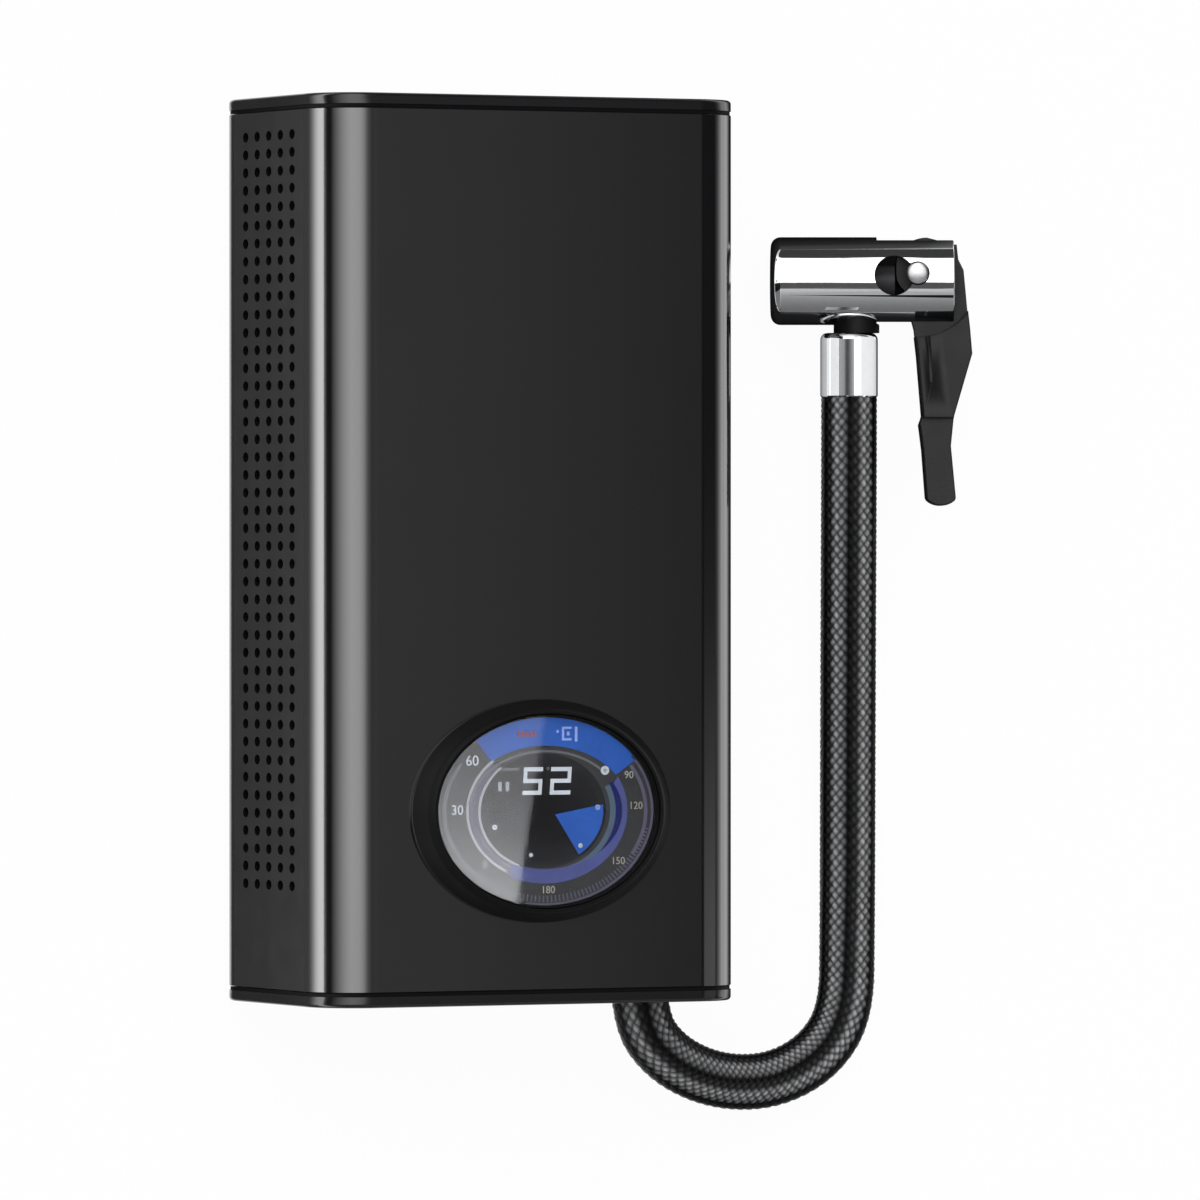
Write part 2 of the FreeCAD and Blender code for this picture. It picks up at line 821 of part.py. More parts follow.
def pump_frame():
    """The cast frame: a plate for motor and crank, and a block that holds the cylinder liner."""
    block_low_x = cylinder_end_x - liner_length + 0.5
    plate = box(crank_x - frame_crank_margin, cylinder_end_x, frame_front_y, motor_face_y,
                frame_low_z(), motor_height + frame_half_height)
    block = box(block_low_x, cylinder_end_x, cylinder_y - head_half, frame_front_y,
                motor_height - head_half, motor_height + head_half)
    frame = joined([plate, block, frame_foot(frame_low_z(), motor_height - head_half + 1)])
    frame = frame.cut(rod_x(cylinder_y, motor_height, liner_radius, block_low_x - 1, cylinder_end_x))
    frame = frame.cut(rod_y(crank_x, motor_height, bearing_radius, frame_front_y, motor_face_y))
    frame = frame.cut(rod_y(motor_x, motor_height, motor_boss_radius + seat_gap, frame_front_y,
                            motor_face_y))
    for z in motor_screw_heights():
        frame = frame.cut(rod_y(motor_x, z, motor_screw_radius + 0.4, frame_front_y, motor_face_y))
        frame = frame.cut(Part.makeCone(motor_screw_head + 0.2, motor_screw_radius + 0.4,
                                        motor_screw_head_height, V(motor_x, frame_front_y, z), ALONG))
    top = motor_height + head_half
    for number in range(fin_grooves):
        low_y = cylinder_y + (number - (fin_grooves - 1) / 2) * fin_pitch - fin_groove / 2
        frame = frame.cut(box(block_low_x + fin_margin, cylinder_end_x - fin_margin, low_y,
                              low_y + fin_groove, top - fin_depth, top))
    for y, z in head_screw_places():
        frame = frame.cut(rod_x(y, z, head_screw_radius + thread_clearance,
                                cylinder_end_x - head_screw_depth - 0.5, cylinder_end_x))
    return frame


def motor_screw_heights():
    """The heights of the two screws in the motor's face."""
    return (motor_height - motor_screw_offset, motor_height + motor_screw_offset)


def head_screw_places():
    """Y and Z of the four screws of the cylinder head."""
    return [(cylinder_y + side_y * head_screw_offset, motor_height + side_z * head_screw_offset)
            for side_y in (-1, 1) for side_z in (-1, 1)]


def pump_pads():
    """Rubber pads between the pump's frame and the casing's back wall, and one under the motor."""
    pads = [frame_foot(wall, frame_low_z())]
    for x, (before, after) in ((crank_x, crank_pad_reach), (motor_x, motor_pad_reach)):
        pads.append(box(x + before, x + after, frame_front_y, motor_face_y, wall, frame_low_z()))
    block_high_y = motor_rear_y - motor_block_setback
    block = box(motor_x - motor_block_half, motor_x + motor_block_half,
                block_high_y - motor_block_length, block_high_y, wall, motor_height - motor_block_half)
    pads.append(block.cut(rod_y(motor_x, motor_height, motor_diameter / 2 + motor_block_gap,
                                block_high_y - motor_block_length - 1, motor_rear_y)))
    return pads


def motor_can():
    """The motor's steel can with its front boss and the bearing holes for its shaft."""
    radius = motor_diameter / 2
    can = joined([rod_y(motor_x, motor_height, radius, motor_face_y, motor_rear_y),
                  rod_y(motor_x, motor_height, motor_boss_radius, motor_face_y - motor_boss_length,
                        motor_face_y + 0.5)])
    can = can.cut(rod_y(motor_x, motor_height, radius - motor_wall, motor_face_y + motor_end_wall,
                        motor_rear_y - motor_end_wall))
    can = can.cut(rod_y(motor_x, motor_height, motor_shaft_radius + shaft_clearance,
                        motor_face_y - motor_boss_length, motor_rear_y))
    for z in motor_screw_heights():
        can = can.cut(rod_y(motor_x, z, motor_screw_radius + 0.1, motor_face_y,
                            motor_face_y + motor_end_wall))
    return can


def motor_magnets():
    """Two magnet shells inside the can."""
    outer = motor_diameter / 2 - motor_wall - magnet_gap
    low, high = motor_face_y + magnet_end_room, motor_rear_y - magnet_end_room
    ring = rod_y(motor_x, motor_height, outer, low, high)
    ring = ring.cut(rod_y(motor_x, motor_height, outer - magnet_thickness, low, high))
    split = box(motor_x - outer, motor_x + outer, low, high, motor_height - magnet_split / 2,
                motor_height + magnet_split / 2)
    return ring.cut(split)


def motor_rotor():
    """The wound core on the motor's shaft, with its slots."""
    radius = motor_diameter / 2 - motor_wall - magnet_gap - magnet_thickness - rotor_gap
    low, high = motor_face_y + rotor_end_room, motor_rear_y - rotor_end_room
    core = rod_y(motor_x, motor_height, radius, low, high)
    for number in range(rotor_slots):
        slot = box(rotor_slot_floor, radius + 1, low, high, -rotor_slot_width / 2, rotor_slot_width / 2)
        slot.rotate(V(0, 0, 0), ALONG, 360.0 * number / rotor_slots)
        slot.translate(V(motor_x, 0, motor_height))
        core = core.cut(slot)
    return core.cut(rod_y(motor_x, motor_height, motor_shaft_radius, low, high))


def motor_shaft():
    """The motor's shaft, from the pinion to the fan."""
    return rod_y(motor_x, motor_height, motor_shaft_radius, gear_front_y, motor_rear_y + shaft_tail)


def motor_screws():
    """Two countersunk screws that hold the motor to the frame."""
    screws = []
    for z in motor_screw_heights():
        head = Part.makeCone(motor_screw_head, motor_screw_radius, motor_screw_head_height,
                             V(motor_x, frame_front_y, z), ALONG)
        shank = rod_y(motor_x, z, motor_screw_radius, frame_front_y, motor_face_y + motor_end_wall - 0.2)
        screws.append(joined([head, shank]))
    return screws


def motor_fan():
    """The cooling fan on the shaft's rear end."""
    low = motor_rear_y + fan_gap
    solids = [rod_y(motor_x, motor_height, fan_hub_radius, low, low + fan_width)]
    half = fan_blade_thickness / 2
    for number in range(fan_blades):
        blade = box(fan_hub_radius - 1, fan_radius, -half, half, -fan_width, fan_width)
        blade.rotate(V(0, 0, 0), ACROSS, fan_blade_tilt)
        blade = blade.common(box(0, fan_radius, -fan_width / 2, fan_width / 2, -fan_width, fan_width))
        blade.translate(V(0, low + fan_width / 2, 0))
        blade.rotate(V(0, 0, 0), ALONG, 360.0 * number / fan_blades)
        blade.translate(V(motor_x, 0, motor_height))
        solids.append(blade)
    fan = joined(solids)
    return fan.cut(rod_y(motor_x, motor_height, motor_shaft_radius, low, low + fan_width))


def drive_gear():
    """The large gear, with round holes between hub and rim."""
    wheel = gear(crank_x, motor_height, wheel_teeth, math.pi / wheel_teeth, gear_front_y, gear_back_y,
                 crank_shaft_radius)
    for number in range(wheel_holes):
        angle = 2 * math.pi * (number + 0.5) / wheel_holes
        wheel = wheel.cut(rod_y(crank_x + wheel_hole_place * math.cos(angle),
                                motor_height + wheel_hole_place * math.sin(angle), wheel_hole_radius,
                                gear_front_y, gear_back_y))
    return wheel


def crank_shaft():
    """The crank's shaft with its web, counterweight and pin; the pin stops short of the rod's eye."""
    shaft = rod_y(crank_x, motor_height, crank_shaft_radius - shaft_clearance,
                  gear_front_y - crank_shaft_front, motor_face_y + crank_shaft_rear)
    web_low = gear_front_y - web_gap - web_thickness
    web = box(crank_x - web_tail, crank_x + crank_throw + web_past_pin, web_low,
              gear_front_y - web_gap, motor_height - web_half_height, motor_height + web_half_height)
    web = web.common(rod_y(crank_x - web_round_offset, motor_height, web_round, web_low, gear_front_y))
    pin_end = cylinder_y + rod_thickness / 2 + open_pivot_gap
    pin = rod_y(crank_x + crank_throw, motor_height, crank_pin_radius, pin_end, web_low + 2.0)
    return joined([shaft, web, pin])


def crank_bearings():
    """Two ball bearings side by side in the frame's plate."""
    rings = []
    for number in range(2):
        low = frame_front_y + number * bearing_width
        ring = rod_y(crank_x, motor_height, bearing_radius, low, low + bearing_width)
        ring = ring.cut(rod_y(crank_x, motor_height, crank_shaft_radius, low, low + bearing_width))
        for face in (low, low + bearing_width - bearing_groove_depth):
            deep = face + bearing_groove_depth
            groove = rod_y(crank_x, motor_height, bearing_groove_outer, face, deep)
            groove = groove.cut(rod_y(crank_x, motor_height, bearing_groove_inner, face, deep))
            ring = ring.cut(groove)
        rings.append(ring)
    return rings


def crank_clip():
    """The ring that keeps the crank's shaft in its bearings."""
    low = motor_face_y + clip_gap
    ring = rod_y(crank_x, motor_height, clip_radius, low, low + clip_thickness)
    return ring.cut(rod_y(crank_x, motor_height, crank_shaft_radius - shaft_clearance, low,
                          low + clip_thickness))


def crown_x():
    """The piston's crown at the top of its stroke."""
    return cylinder_end_x - piston_crown_gap


def piston_rod():
    """The rod with its eye and the piston's head in one piece."""
    eye_x = crank_x + crank_throw
    low, high = cylinder_y - rod_thickness / 2, cylinder_y + rod_thickness / 2
    seal_high = crown_x() - piston_plate
    seal_low = seal_high - piston_seal_height
    eye = rod_y(eye_x, motor_height, rod_eye_radius, low, high)
    bar = box(eye_x, seal_high + 0.4, low, high, motor_height - rod_half_height,
              motor_height + rod_half_height)
    head = rod_x(cylinder_y, motor_height, cylinder_bore / 2 - piston_top_gap, seal_high, crown_x())
    lower = rod_x(cylinder_y, motor_height, cylinder_bore / 2 - piston_low_gap,
                  seal_low - piston_seal_height, seal_low)
    core = rod_x(cylinder_y, motor_height, piston_core_radius, seal_low - 1.1, seal_high + 0.4)
    rod = joined([eye, bar, head, lower, core])
    return rod.cut(rod_y(eye_x, motor_height, crank_pin_radius + rod_eye_gap, low, high))


def piston_seal():
    """The seal ring between the piston's head and its lower plate."""
    high = crown_x() - piston_plate
    low = high - piston_seal_height
    ring = rod_x(cylinder_y, motor_height, cylinder_bore / 2 - piston_clearance, low, high)
    return ring.cut(rod_x(cylinder_y, motor_height, piston_core_radius, low, high))


def pump_cylinder():
    """The cylinder's liner."""
    liner = rod_x(cylinder_y, motor_height, liner_radius, cylinder_end_x - liner_length, cylinder_end_x)
    return liner.cut(rod_x(cylinder_y, motor_height, cylinder_bore / 2, 0.0, cylinder_end_x))


def head_sheet(low_x, high_x, hole_radius):
    """A square sheet under the cylinder head, with its screw holes and a middle hole if any."""
    sheet = box(low_x, high_x, cylinder_y - head_half, cylinder_y + head_half,
                motor_height - head_half, motor_height + head_half)
    if hole_radius:
        sheet = sheet.cut(rod_x(cylinder_y, motor_height, hole_radius, low_x, high_x))
    for y, z in head_screw_places():
        sheet = sheet.cut(rod_x(y, z, head_screw_radius + 0.3, low_x, high_x))
    return sheet


def valve_plate():
    """The plate with the outlet port between cylinder and head."""
    return head_sheet(cylinder_end_x, cylinder_end_x + valve_plate_thickness, valve_hole_radius)


def head_gasket():
    """The gasket round the head's chamber."""
    low = cylinder_end_x + valve_plate_thickness
    return head_sheet(low, low + gasket_sheet, gasket_hole_radius)


def outlet_reed():
    """The spring leaf over the outlet port."""
    low = cylinder_end_x + valve_plate_thickness
    return rod_x(cylinder_y, motor_height, reed_radius, low, low + reed_thickness)


def cylinder_head():
    """The cylinder head with its chamber, outlet port and sensor port."""
    low = head_low_x
    head = head_sheet(low, low + head_thickness, 0)
    head = head.cut(rod_x(cylinder_y, motor_height, head_chamber_radius, low,
                          low + head_chamber_depth))
    head = head.cut(rod_y(hose_exit_x, motor_height, outlet_bore, cylinder_y - head_half, cylinder_y))
    return head.cut(rod_z(hose_exit_x, cylinder_y, sensor_port_radius, motor_height,
                          motor_height + head_half))


def head_screws():
    """Four screws that hold the head to the frame's block."""
    screws = []
    top = head_low_x + head_thickness
    for y, z in head_screw_places():
        head = rod_x(y, z, head_screw_head, top, top + head_screw_head_height)
        shank = rod_x(y, z, head_screw_radius, cylinder_end_x - head_screw_depth, top + 0.1)
        socket_floor = top + head_screw_head_height - head_screw_socket_depth
        screws.append(joined([head, shank]).cut(rod_x(y, z, head_screw_socket_radius, socket_floor,
                                                      top + head_screw_head_height)))
    return screws


def pressure_sensor():
    """The pressure sensor on the head."""
    low = motor_height + head_half
    body = box(hose_exit_x - sensor_half_x, hose_exit_x + sensor_half_x, cylinder_y - sensor_half_y,
               cylinder_y + sensor_half_y, low, low + sensor_height)
    return joined([body, rod_z(hose_exit_x, cylinder_y, sensor_port_radius - sensor_port_gap,
                               low - sensor_port_depth, low + 0.5)])


def outlet_barb():
    """The barbed outlet of the head."""
    top = cylinder_y - head_half
    neck = top - barb_hexagon_length
    base = rod_y(hose_exit_x, motor_height, barb_hexagon, neck, top)
    barb = rod_y(hose_exit_x, motor_height, barb_radius, neck - barb_length, neck + 0.1)
    return joined([base, barb]).cut(rod_y(hose_exit_x, motor_height, outlet_bore, neck - barb_length,
                                          top))


def gland_top_y():
    """The upper face of the gland's flange."""
    return hose_exit_y + hose_route[0][1] + gland_flange


def hose_gland():
    """The fitting that holds the hose's inner end in the bottom cap."""
    low = hose_exit_y + hose_route[0][1]
    tip = gland_top_y() + barb_length
    flange = rod_y(hose_exit_x, hose_exit_height, gland_radius, low, gland_top_y())
    barb = rod_y(hose_exit_x, hose_exit_height, barb_radius, gland_top_y() - 0.1, tip)
    return joined([flange, barb]).cut(rod_y(hose_exit_x, hose_exit_height, outlet_bore, low, tip))


def inner_hose():
    """The short rubber hose between the outlet and the gland."""
    low = gland_top_y() + seat_gap
    high = cylinder_y - head_half - barb_hexagon_length - seat_gap
    hose = rod_y(hose_exit_x, hose_exit_height, inner_hose_radius, low, high)
    return hose.cut(rod_y(hose_exit_x, hose_exit_height, barb_radius + 0.15, low, high))


def gauge_bezel():
    """The raised oval bezel, its pocket for dial and lens, and the neck through the casing."""
    x, y = gauge_length_x, gauge_length_y
    top = body_depth + gauge_height
    outer = oval_stack((x, y, body_depth), (x, y, body_depth + gauge_lip),
                       (x - 2 * gauge_slope_x + 0.8, y - 2 * gauge_slope_y + 0.6, top - 0.8),
                       (x - 2 * gauge_slope_x - 0.4, y - 2 * gauge_slope_y - 0.4, top - 0.25),
                       (x - 2 * gauge_slope_x - 1.0, y - 2 * gauge_slope_y - 1.0, top))
    neck = oval_disc(x - 2 * neck_inset_x, y - 2 * neck_inset_y, neck_foot_z(), body_depth + 0.2)
    pocket = oval_disc(lens_length_x + seat_gap, lens_length_y + seat_gap, dial_low_z(), top + 1)
    inside = oval_disc(x - 2 * neck_inset_x - 2 * neck_wall, y - 2 * neck_inset_y - 2 * neck_wall,
                       neck_foot_z() - 1, dial_low_z() + 0.1)
    bezel = joined([outer, neck]).cut(pocket).cut(inside)
    bezel = bezel.cut(gasket_ring(0.02, body_depth - 0.1, body_depth + gasket_thickness))
    for px, py in small_screw_places():
        bezel = bezel.cut(rod_z(px, py, small_screw_radius + thread_clearance, neck_foot_z(),
                                neck_foot_z() + small_screw_depth + 0.2))
    return bezel


def gasket_ring(extra, low, high):
    """The oval ring between bezel and casing, wider by an extra on both sides."""
    x = gauge_length_x - 2 * gasket_setback
    y = gauge_length_y - 2 * gasket_setback
    outer = oval_disc(x + 2 * extra, y + 2 * extra, low, high)
    inner = oval_disc(x - 2 * gasket_width - 2 * extra, y - 2 * gasket_width - 2 * extra, low, high)
    return outer.cut(inner)


def lens_top_z():
    """The lens's outer face, a little below the bezel's rim."""
    return body_depth + gauge_height - lens_sink


def dial_low_z():
    """The floor of the bezel's pocket, under the dial."""
    return lens_top_z() - lens_thickness - dial_thickness


def neck_foot_z():
    """The lower end of the bezel's neck."""
    return inner_high - neck_setback


def small_screw_places():
    """The four screws of the gauge's retainer, in the neck's wall."""
    reach_x = gauge_length_x / 2 - neck_inset_x - neck_wall / 2
    reach_y = gauge_length_y / 2 - neck_inset_y - neck_wall / 2
    return [(reach_x, gauge_y), (-reach_x, gauge_y), (0.0, gauge_y + reach_y), (0.0, gauge_y - reach_y)]


def gauge_lens():
    """The clear window, standing on its own thin rim."""
    top = lens_top_z()
    lens = oval_disc(lens_length_x, lens_length_y, top - lens_thickness, top)
    return lens.cut(oval_disc(lens_length_x - 2 * lens_rim, lens_length_y - 2 * lens_rim,
                              top - lens_thickness, top - lens_thickness + lens_foot))


def dial_plate():
    """The printed dial under the window."""
    return oval_disc(lens_length_x, lens_length_y, dial_low_z(), dial_low_z() + dial_thickness)


def display_board():
    """The board behind the dial, with its lit digits facing it."""
    x = gauge_length_x - 2 * neck_inset_x - 2 * neck_wall - 2 * seat_gap
    y = gauge_length_y - 2 * neck_inset_y - 2 * neck_wall - 2 * seat_gap
    return oval_disc(x, y, dial_low_z() - seat_gap - board_thickness, dial_low_z() - seat_gap)


def gauge_retainer():
    """The ring behind the casing's wall that clamps the bezel."""
    x = gauge_length_x - 2 * neck_inset_x
    y = gauge_length_y - 2 * neck_inset_y
    low = neck_foot_z() - retainer_thickness
    ring = oval_disc(x + 2 * retainer_overlap, y + 2 * retainer_overlap, low, inner_high)
    ring = ring.cut(oval_disc(x + 0.4, y + 0.4, neck_foot_z(), inner_high))
    ring = ring.cut(oval_disc(x - 2 * neck_wall - 1, y - 2 * neck_wall - 1, low, neck_foot_z()))
    for px, py in small_screw_places():
        ring = ring.cut(rod_z(px, py, small_screw_radius + 0.1, low, neck_foot_z()))
    return ring


def gauge_screws():
    """The four small screws of the retainer."""
    screws = []
    low = neck_foot_z() - retainer_thickness
    for x, y in small_screw_places():
        shank = rod_z(x, y, small_screw_radius, low - 0.1, neck_foot_z() + small_screw_depth)
        head = rod_z(x, y, small_screw_head_radius, low - small_screw_head_height, low)
        screws.append(joined([head, shank]))
    return screws


def wire(route, radius):
    """A bent wire through points, with an arc at each turn; its turns are printed for a hose."""
    edges = []
    radii = []
    here = route[0]
    for before, corner, after in zip(route, route[1:], route[2:]):
        run_in, run_out = corner.sub(before), after.sub(corner)
        turn = run_in.getAngle(run_out)
        reach = 0.45 * min(run_in.Length, run_out.Length)
        start = corner.sub(V(run_in).normalize().multiply(reach))
        end = corner.add(V(run_out).normalize().multiply(reach))
        bend = reach / math.tan(turn / 2)
        radii.append(round(bend, 1))
        inward = V(run_out).normalize().sub(V(run_in).normalize()).normalize()
        apex = corner.add(inward.multiply(bend / math.cos(turn / 2) - bend))
        edges.append(Part.LineSegment(here, start).toShape())
        edges.append(Part.Arc(start, apex, end).toShape())
        here = end
    edges.append(Part.LineSegment(here, route[-1]).toShape())
    path = Part.Wire(edges)
    first = route[1].sub(route[0])
    ring = Part.Wire([Part.Circle(route[0], first, radius).toShape()])
    return path.makePipeShell([ring], True, False), path.Length, radii


def hose_points():
    """The hose's route in the part's frame."""
    rest_z = hose_diameter / 2 + table_gap
    points = []
    for x, y, fall, rise in hose_route:
        z = hose_exit_height + fall * (rest_z - hose_exit_height) + rise * (chuck_z - rest_z)
        points.append(V(hose_exit_x + x, hose_exit_y + y, z))
    return points


def hose_tube():
    """The braided hose, as a plain tube along its route."""
    tube, length, radii = wire(hose_points(), hose_diameter / 2)
    section = math.pi * hose_diameter ** 2 / 4
    print("hose length", round(length, 1), "bend radii", radii)
    print("hose volume over section times length", round(tube.Volume / (section * length), 4))
    return tube


def battery_leads():
    """Two wires from the battery's sides to the main board."""
    leads = []
    start_y = control_board_low_y + 6.3
    reach = min(tray_half_width() + 3.7, inner_half_width - board_slot_depth - 2.0)
    for side in (-1, 1):
        x = side * reach
        route = [V(side * (tray_half_width() + 0.1), start_y, cell_height()), V(x, start_y, cell_height()),
                 V(x, start_y + 4.0, cell_height() + 12.0),
                 V(x, start_y + 4.0, control_board_height - 0.05)]
        leads.append(wire(route, lead_radius)[0])
    return leads


def motor_leads():
    """Two wires from the side of the motor's can to the main board."""
    leads = []
    start_y = motor_rear_y - 3.0
    end_y = control_board_low_y + 2.0
    radius = motor_diameter / 2
    slope = math.radians(40.0)
    for side in (-1, 1):
        x = motor_x + side * (radius + 0.5)
        start = V(motor_x + side * radius * math.cos(slope), start_y,
                  motor_height + radius * math.sin(slope))
        route = [start, V(x - side, start_y, control_board_height - 2.2),
                 V(x, start_y + 8.0, control_board_height - 1.8),
                 V(x, end_y, control_board_height - 0.9)]
        leads.append(wire(route, motor_lead_radius)[0])
    return leads


def chuck_place():
    """The placement that carries the chuck's own axes to the hose's end."""
    end = hose_points()[-1]
    origin = V(end.x, end.y + ferrule_end_v(), end.z)
    return FreeCAD.Placement(origin, FreeCAD.Rotation(ALONG, -chuck_roll))


def ferrule_end_v():
    """How far the chuck's axis lies beyond the hose's end."""
    return ferrule_length + collar_height + chuck_radius - collar_sink


def placed(shape):
    """A copy of a chuck piece at its place."""
    copy = shape.copy()
    copy.Placement = chuck_place().multiply(copy.Placement)
    return copy


def chuck_body():
    """The chromed cylinder: round mouth, bore, fork for the lever, window and pin hole."""
    body = rod_x(0, 0, chuck_radius, chuck_mouth_u, chuck_end_u)
    mouth_rim = [edge for edge in body.Edges if all(abs(v.X - chuck_mouth_u) < 0.01
                                                    for v in edge.Vertexes)]
    body = body.makeFillet(chuck_mouth_round, mouth_rim)
    end_rim = [edge for edge in body.Edges if all(abs(v.X - chuck_end_u) < 0.01
                                                  for v in edge.Vertexes)]
    body = body.makeFillet(chuck_end_round, end_rim)
    body = body.cut(rod_x(0, 0, seal_bore_radius + mouth_clearance, chuck_mouth_u - 1,
                          chuck_mouth_u + mouth_depth))
    body = body.cut(rod_x(0, 0, chuck_bore_radius, chuck_mouth_u + chuck_front_wall, chuck_slot_u))
    half = chuck_slot_width / 2
    body = body.cut(box(chuck_slot_u - 0.1, chuck_end_u + 1, -chuck_radius - 1, chuck_radius + 1,
                        -half, half))
    round_end = (window_high_v - window_low_v) / 2
    middle_v = (window_high_v + window_low_v) / 2
    window = rod_z(window_left_u + round_end, middle_v, round_end, half - 0.1, chuck_radius + 1)
    window = window.fuse(box(window_left_u + round_end, window_right_u, window_low_v, window_high_v,
                             half - 0.1, chuck_radius + 1))
    body = body.cut(window)
    body = body.cut(rod_z(pin_u, pin_v, pin_radius + pin_clearance, -chuck_radius - 1, chuck_radius + 1))
    body = body.cut(rod_z(pin_u, pin_v, pin_head_radius + pin_head_gap, pin_seat_w(),
                          chuck_radius + 1))
    inlet = Part.makeCylinder(inlet_radius, inlet_depth + 0.5, V(0, -chuck_radius - 0.5, 0), ALONG)
    return body.cut(inlet)


def pin_seat_w():
    """The seat of the pin's head in the fork."""
    return chuck_radius - pin_seat_depth


def pivot_pin():
    """The lever's pin with its domed head."""
    tail = rod_z(pin_u, pin_v, pin_radius, -chuck_radius + pin_tail_sink, pin_seat_w() + 0.5)
    top = math.sqrt(chuck_radius ** 2 - pin_v ** 2) + pin_head_proud
    head = rod_z(pin_u, pin_v, pin_head_radius, pin_seat_w() + 0.02, top)
    rim = [edge for edge in head.Edges if all(abs(v.Z - top) < 0.01 for v in edge.Vertexes)]
    head = head.makeFillet(pin_dome_round, rim)
    return joined([tail, head])


def chuck_plunger():
    """The slide: a disc that squeezes the seal, its stem to the cam and the valve depressor."""
    rear = plunger_front_u + plunger_length
    stem_end = pin_u - cam_radius - cam_gap
    disc = rod_x(0, 0, chuck_bore_radius - plunger_clearance, plunger_front_u, rear)
    stem = rod_x(0, 0, plunger_stem_radius, rear - 0.1, stem_end)
    depressor = rod_x(0, 0, depressor_radius, plunger_front_u - depressor_length,
                      plunger_front_u + 0.1)
    return joined([disc, stem, depressor])


def valve_seal():
    """The rubber seal that grips the tyre's valve."""
    low = chuck_mouth_u + chuck_front_wall + 0.05
    ring = rod_x(0, 0, chuck_bore_radius - seal_gap, low, low + seal_length)
    return ring.cut(rod_x(0, 0, seal_bore_radius, low, low + seal_length))


def cam_point(angle):
    """A point of the cam's face, where it meets a flat follower after turning by an angle."""
    reach = cam_radius + cam_rise_per_radian * angle
    u = -reach * math.cos(angle) + cam_rise_per_radian * math.sin(angle)
    v = reach * math.sin(angle) + cam_rise_per_radian * math.cos(angle)
    return V(pin_u + u, pin_v + v, 0)


def chuck_lever():
    """The thumb lever: cam and tongue inside the fork, a wide handle outside it and a grip."""
    steps = 6
    swing = math.radians(lever_angle)
    cam = Part.BSplineCurve()
    cam.interpolate([cam_point(swing * step / steps) for step in range(steps + 1)])
    outer = [V(u, v, 0) for u, v in lever_outer]
    inner = [V(u, v, 0) for u, v in lever_inner]
    foot, back = math.radians(cam_foot_angle), math.radians(cam_back_angle)
    arc_end = V(pin_u + cam_radius * math.cos(foot), pin_v + cam_radius * math.sin(foot), 0)
    arc_mid = V(pin_u + cam_radius * math.cos(back), pin_v + cam_radius * math.sin(back), 0)
    cam_foot = V(pin_u - cam_radius, pin_v, 0)
    edges = [cam.toShape()]
    chain = [cam_point(swing)] + outer
    edges += [Part.LineSegment(a, b).toShape() for a, b in zip(chain, chain[1:])]
    edges.append(Part.Arc(outer[-1], V(lever_tip[0], lever_tip[1], 0), inner[0]).toShape())
    chain = inner + [arc_end]
    edges += [Part.LineSegment(a, b).toShape() for a, b in zip(chain, chain[1:])]
    edges.append(Part.Arc(arc_end, arc_mid, cam_foot).toShape())
    edges.append(Part.LineSegment(cam_foot, cam_point(0.0)).toShape())
    face = Part.Face(Part.Wire(edges))

    def slab(width):
        """The lever's outline at a width."""
        plate = face.copy()
        plate.translate(V(0, 0, -width / 2))
        return plate.extrude(V(0, 0, width))

    wide = slab(lever_width).cut(rod_z(pin_u, pin_v, lever_clear_radius, -20, 20))
    wide = wide.common(box(0, 40, grip_top_v, 40, -20, 20))
    grip = slab(grip_width).common(box(0, 40, -60, grip_top_v + 0.2, -20, 20))
    lever = joined([slab(lever_thickness), wide, grip])
    return lever.cut(rod_z(pin_u, pin_v, pin_radius + pin_clearance, -20, 20))


def hose_ferrule():
    """The crimped sleeve on the hose's end."""
    low = -ferrule_end_v()
    sleeve = Part.makeCylinder(ferrule_radius, ferrule_length, V(0, low, 0), ALONG)
    rim = [edge for edge in sleeve.Edges if all(abs(v.Y - low - ferrule_length) < 0.01
                                                for v in edge.Vertexes)]
    return sleeve.makeFillet(ferrule_round, rim)


def hose_collar():
    """The black collar between the ferrule and the chuck, shaped to the chuck's round side."""
    low = -ferrule_end_v() + ferrule_length
    collar = Part.makeCylinder(collar_radius, chuck_radius, V(collar_offset, low, 0), ALONG)
    collar = collar.cut(rod_x(0, 0, chuck_radius, -20, 20))
    return sorted(collar.Solids, key=lambda solid: solid.CenterOfMass.y)[0]


os.makedirs("parts", exist_ok=True)

save("casing_sleeve", casing_sleeve())
save("top_cap", top_cap())
save("bottom_cap", bottom_cap())
save("cap_screws", *cap_screws(1), *cap_screws(-1))

save("gauge_bezel", gauge_bezel())
save("gauge_gasket", gasket_ring(0.0, body_depth, body_depth + gasket_thickness - 0.02))
save("gauge_lens", gauge_lens())
save("dial_plate", dial_plate())
save("display_board", display_board())
save("gauge_retainer", gauge_retainer())
save("gauge_screws", *gauge_screws())

for key_name, key_x in key_places.items():
    save(key_name, key(key_name, key_x))
save("switch_board", switch_board())
save("tactile_switches", *tactile_switches())
save("torch_lens", torch_lens())
save("torch_reflector", torch_reflector())
save("torch_light", torch_light())
save("charge_port", charge_port())
save("control_board", control_board())
save("board_parts", *board_parts())

save("battery_cells", *battery_cells())
save("battery_strips", *battery_strips())
save("battery_tray", battery_tray())
save("inner_leads", *battery_leads(), *motor_leads())

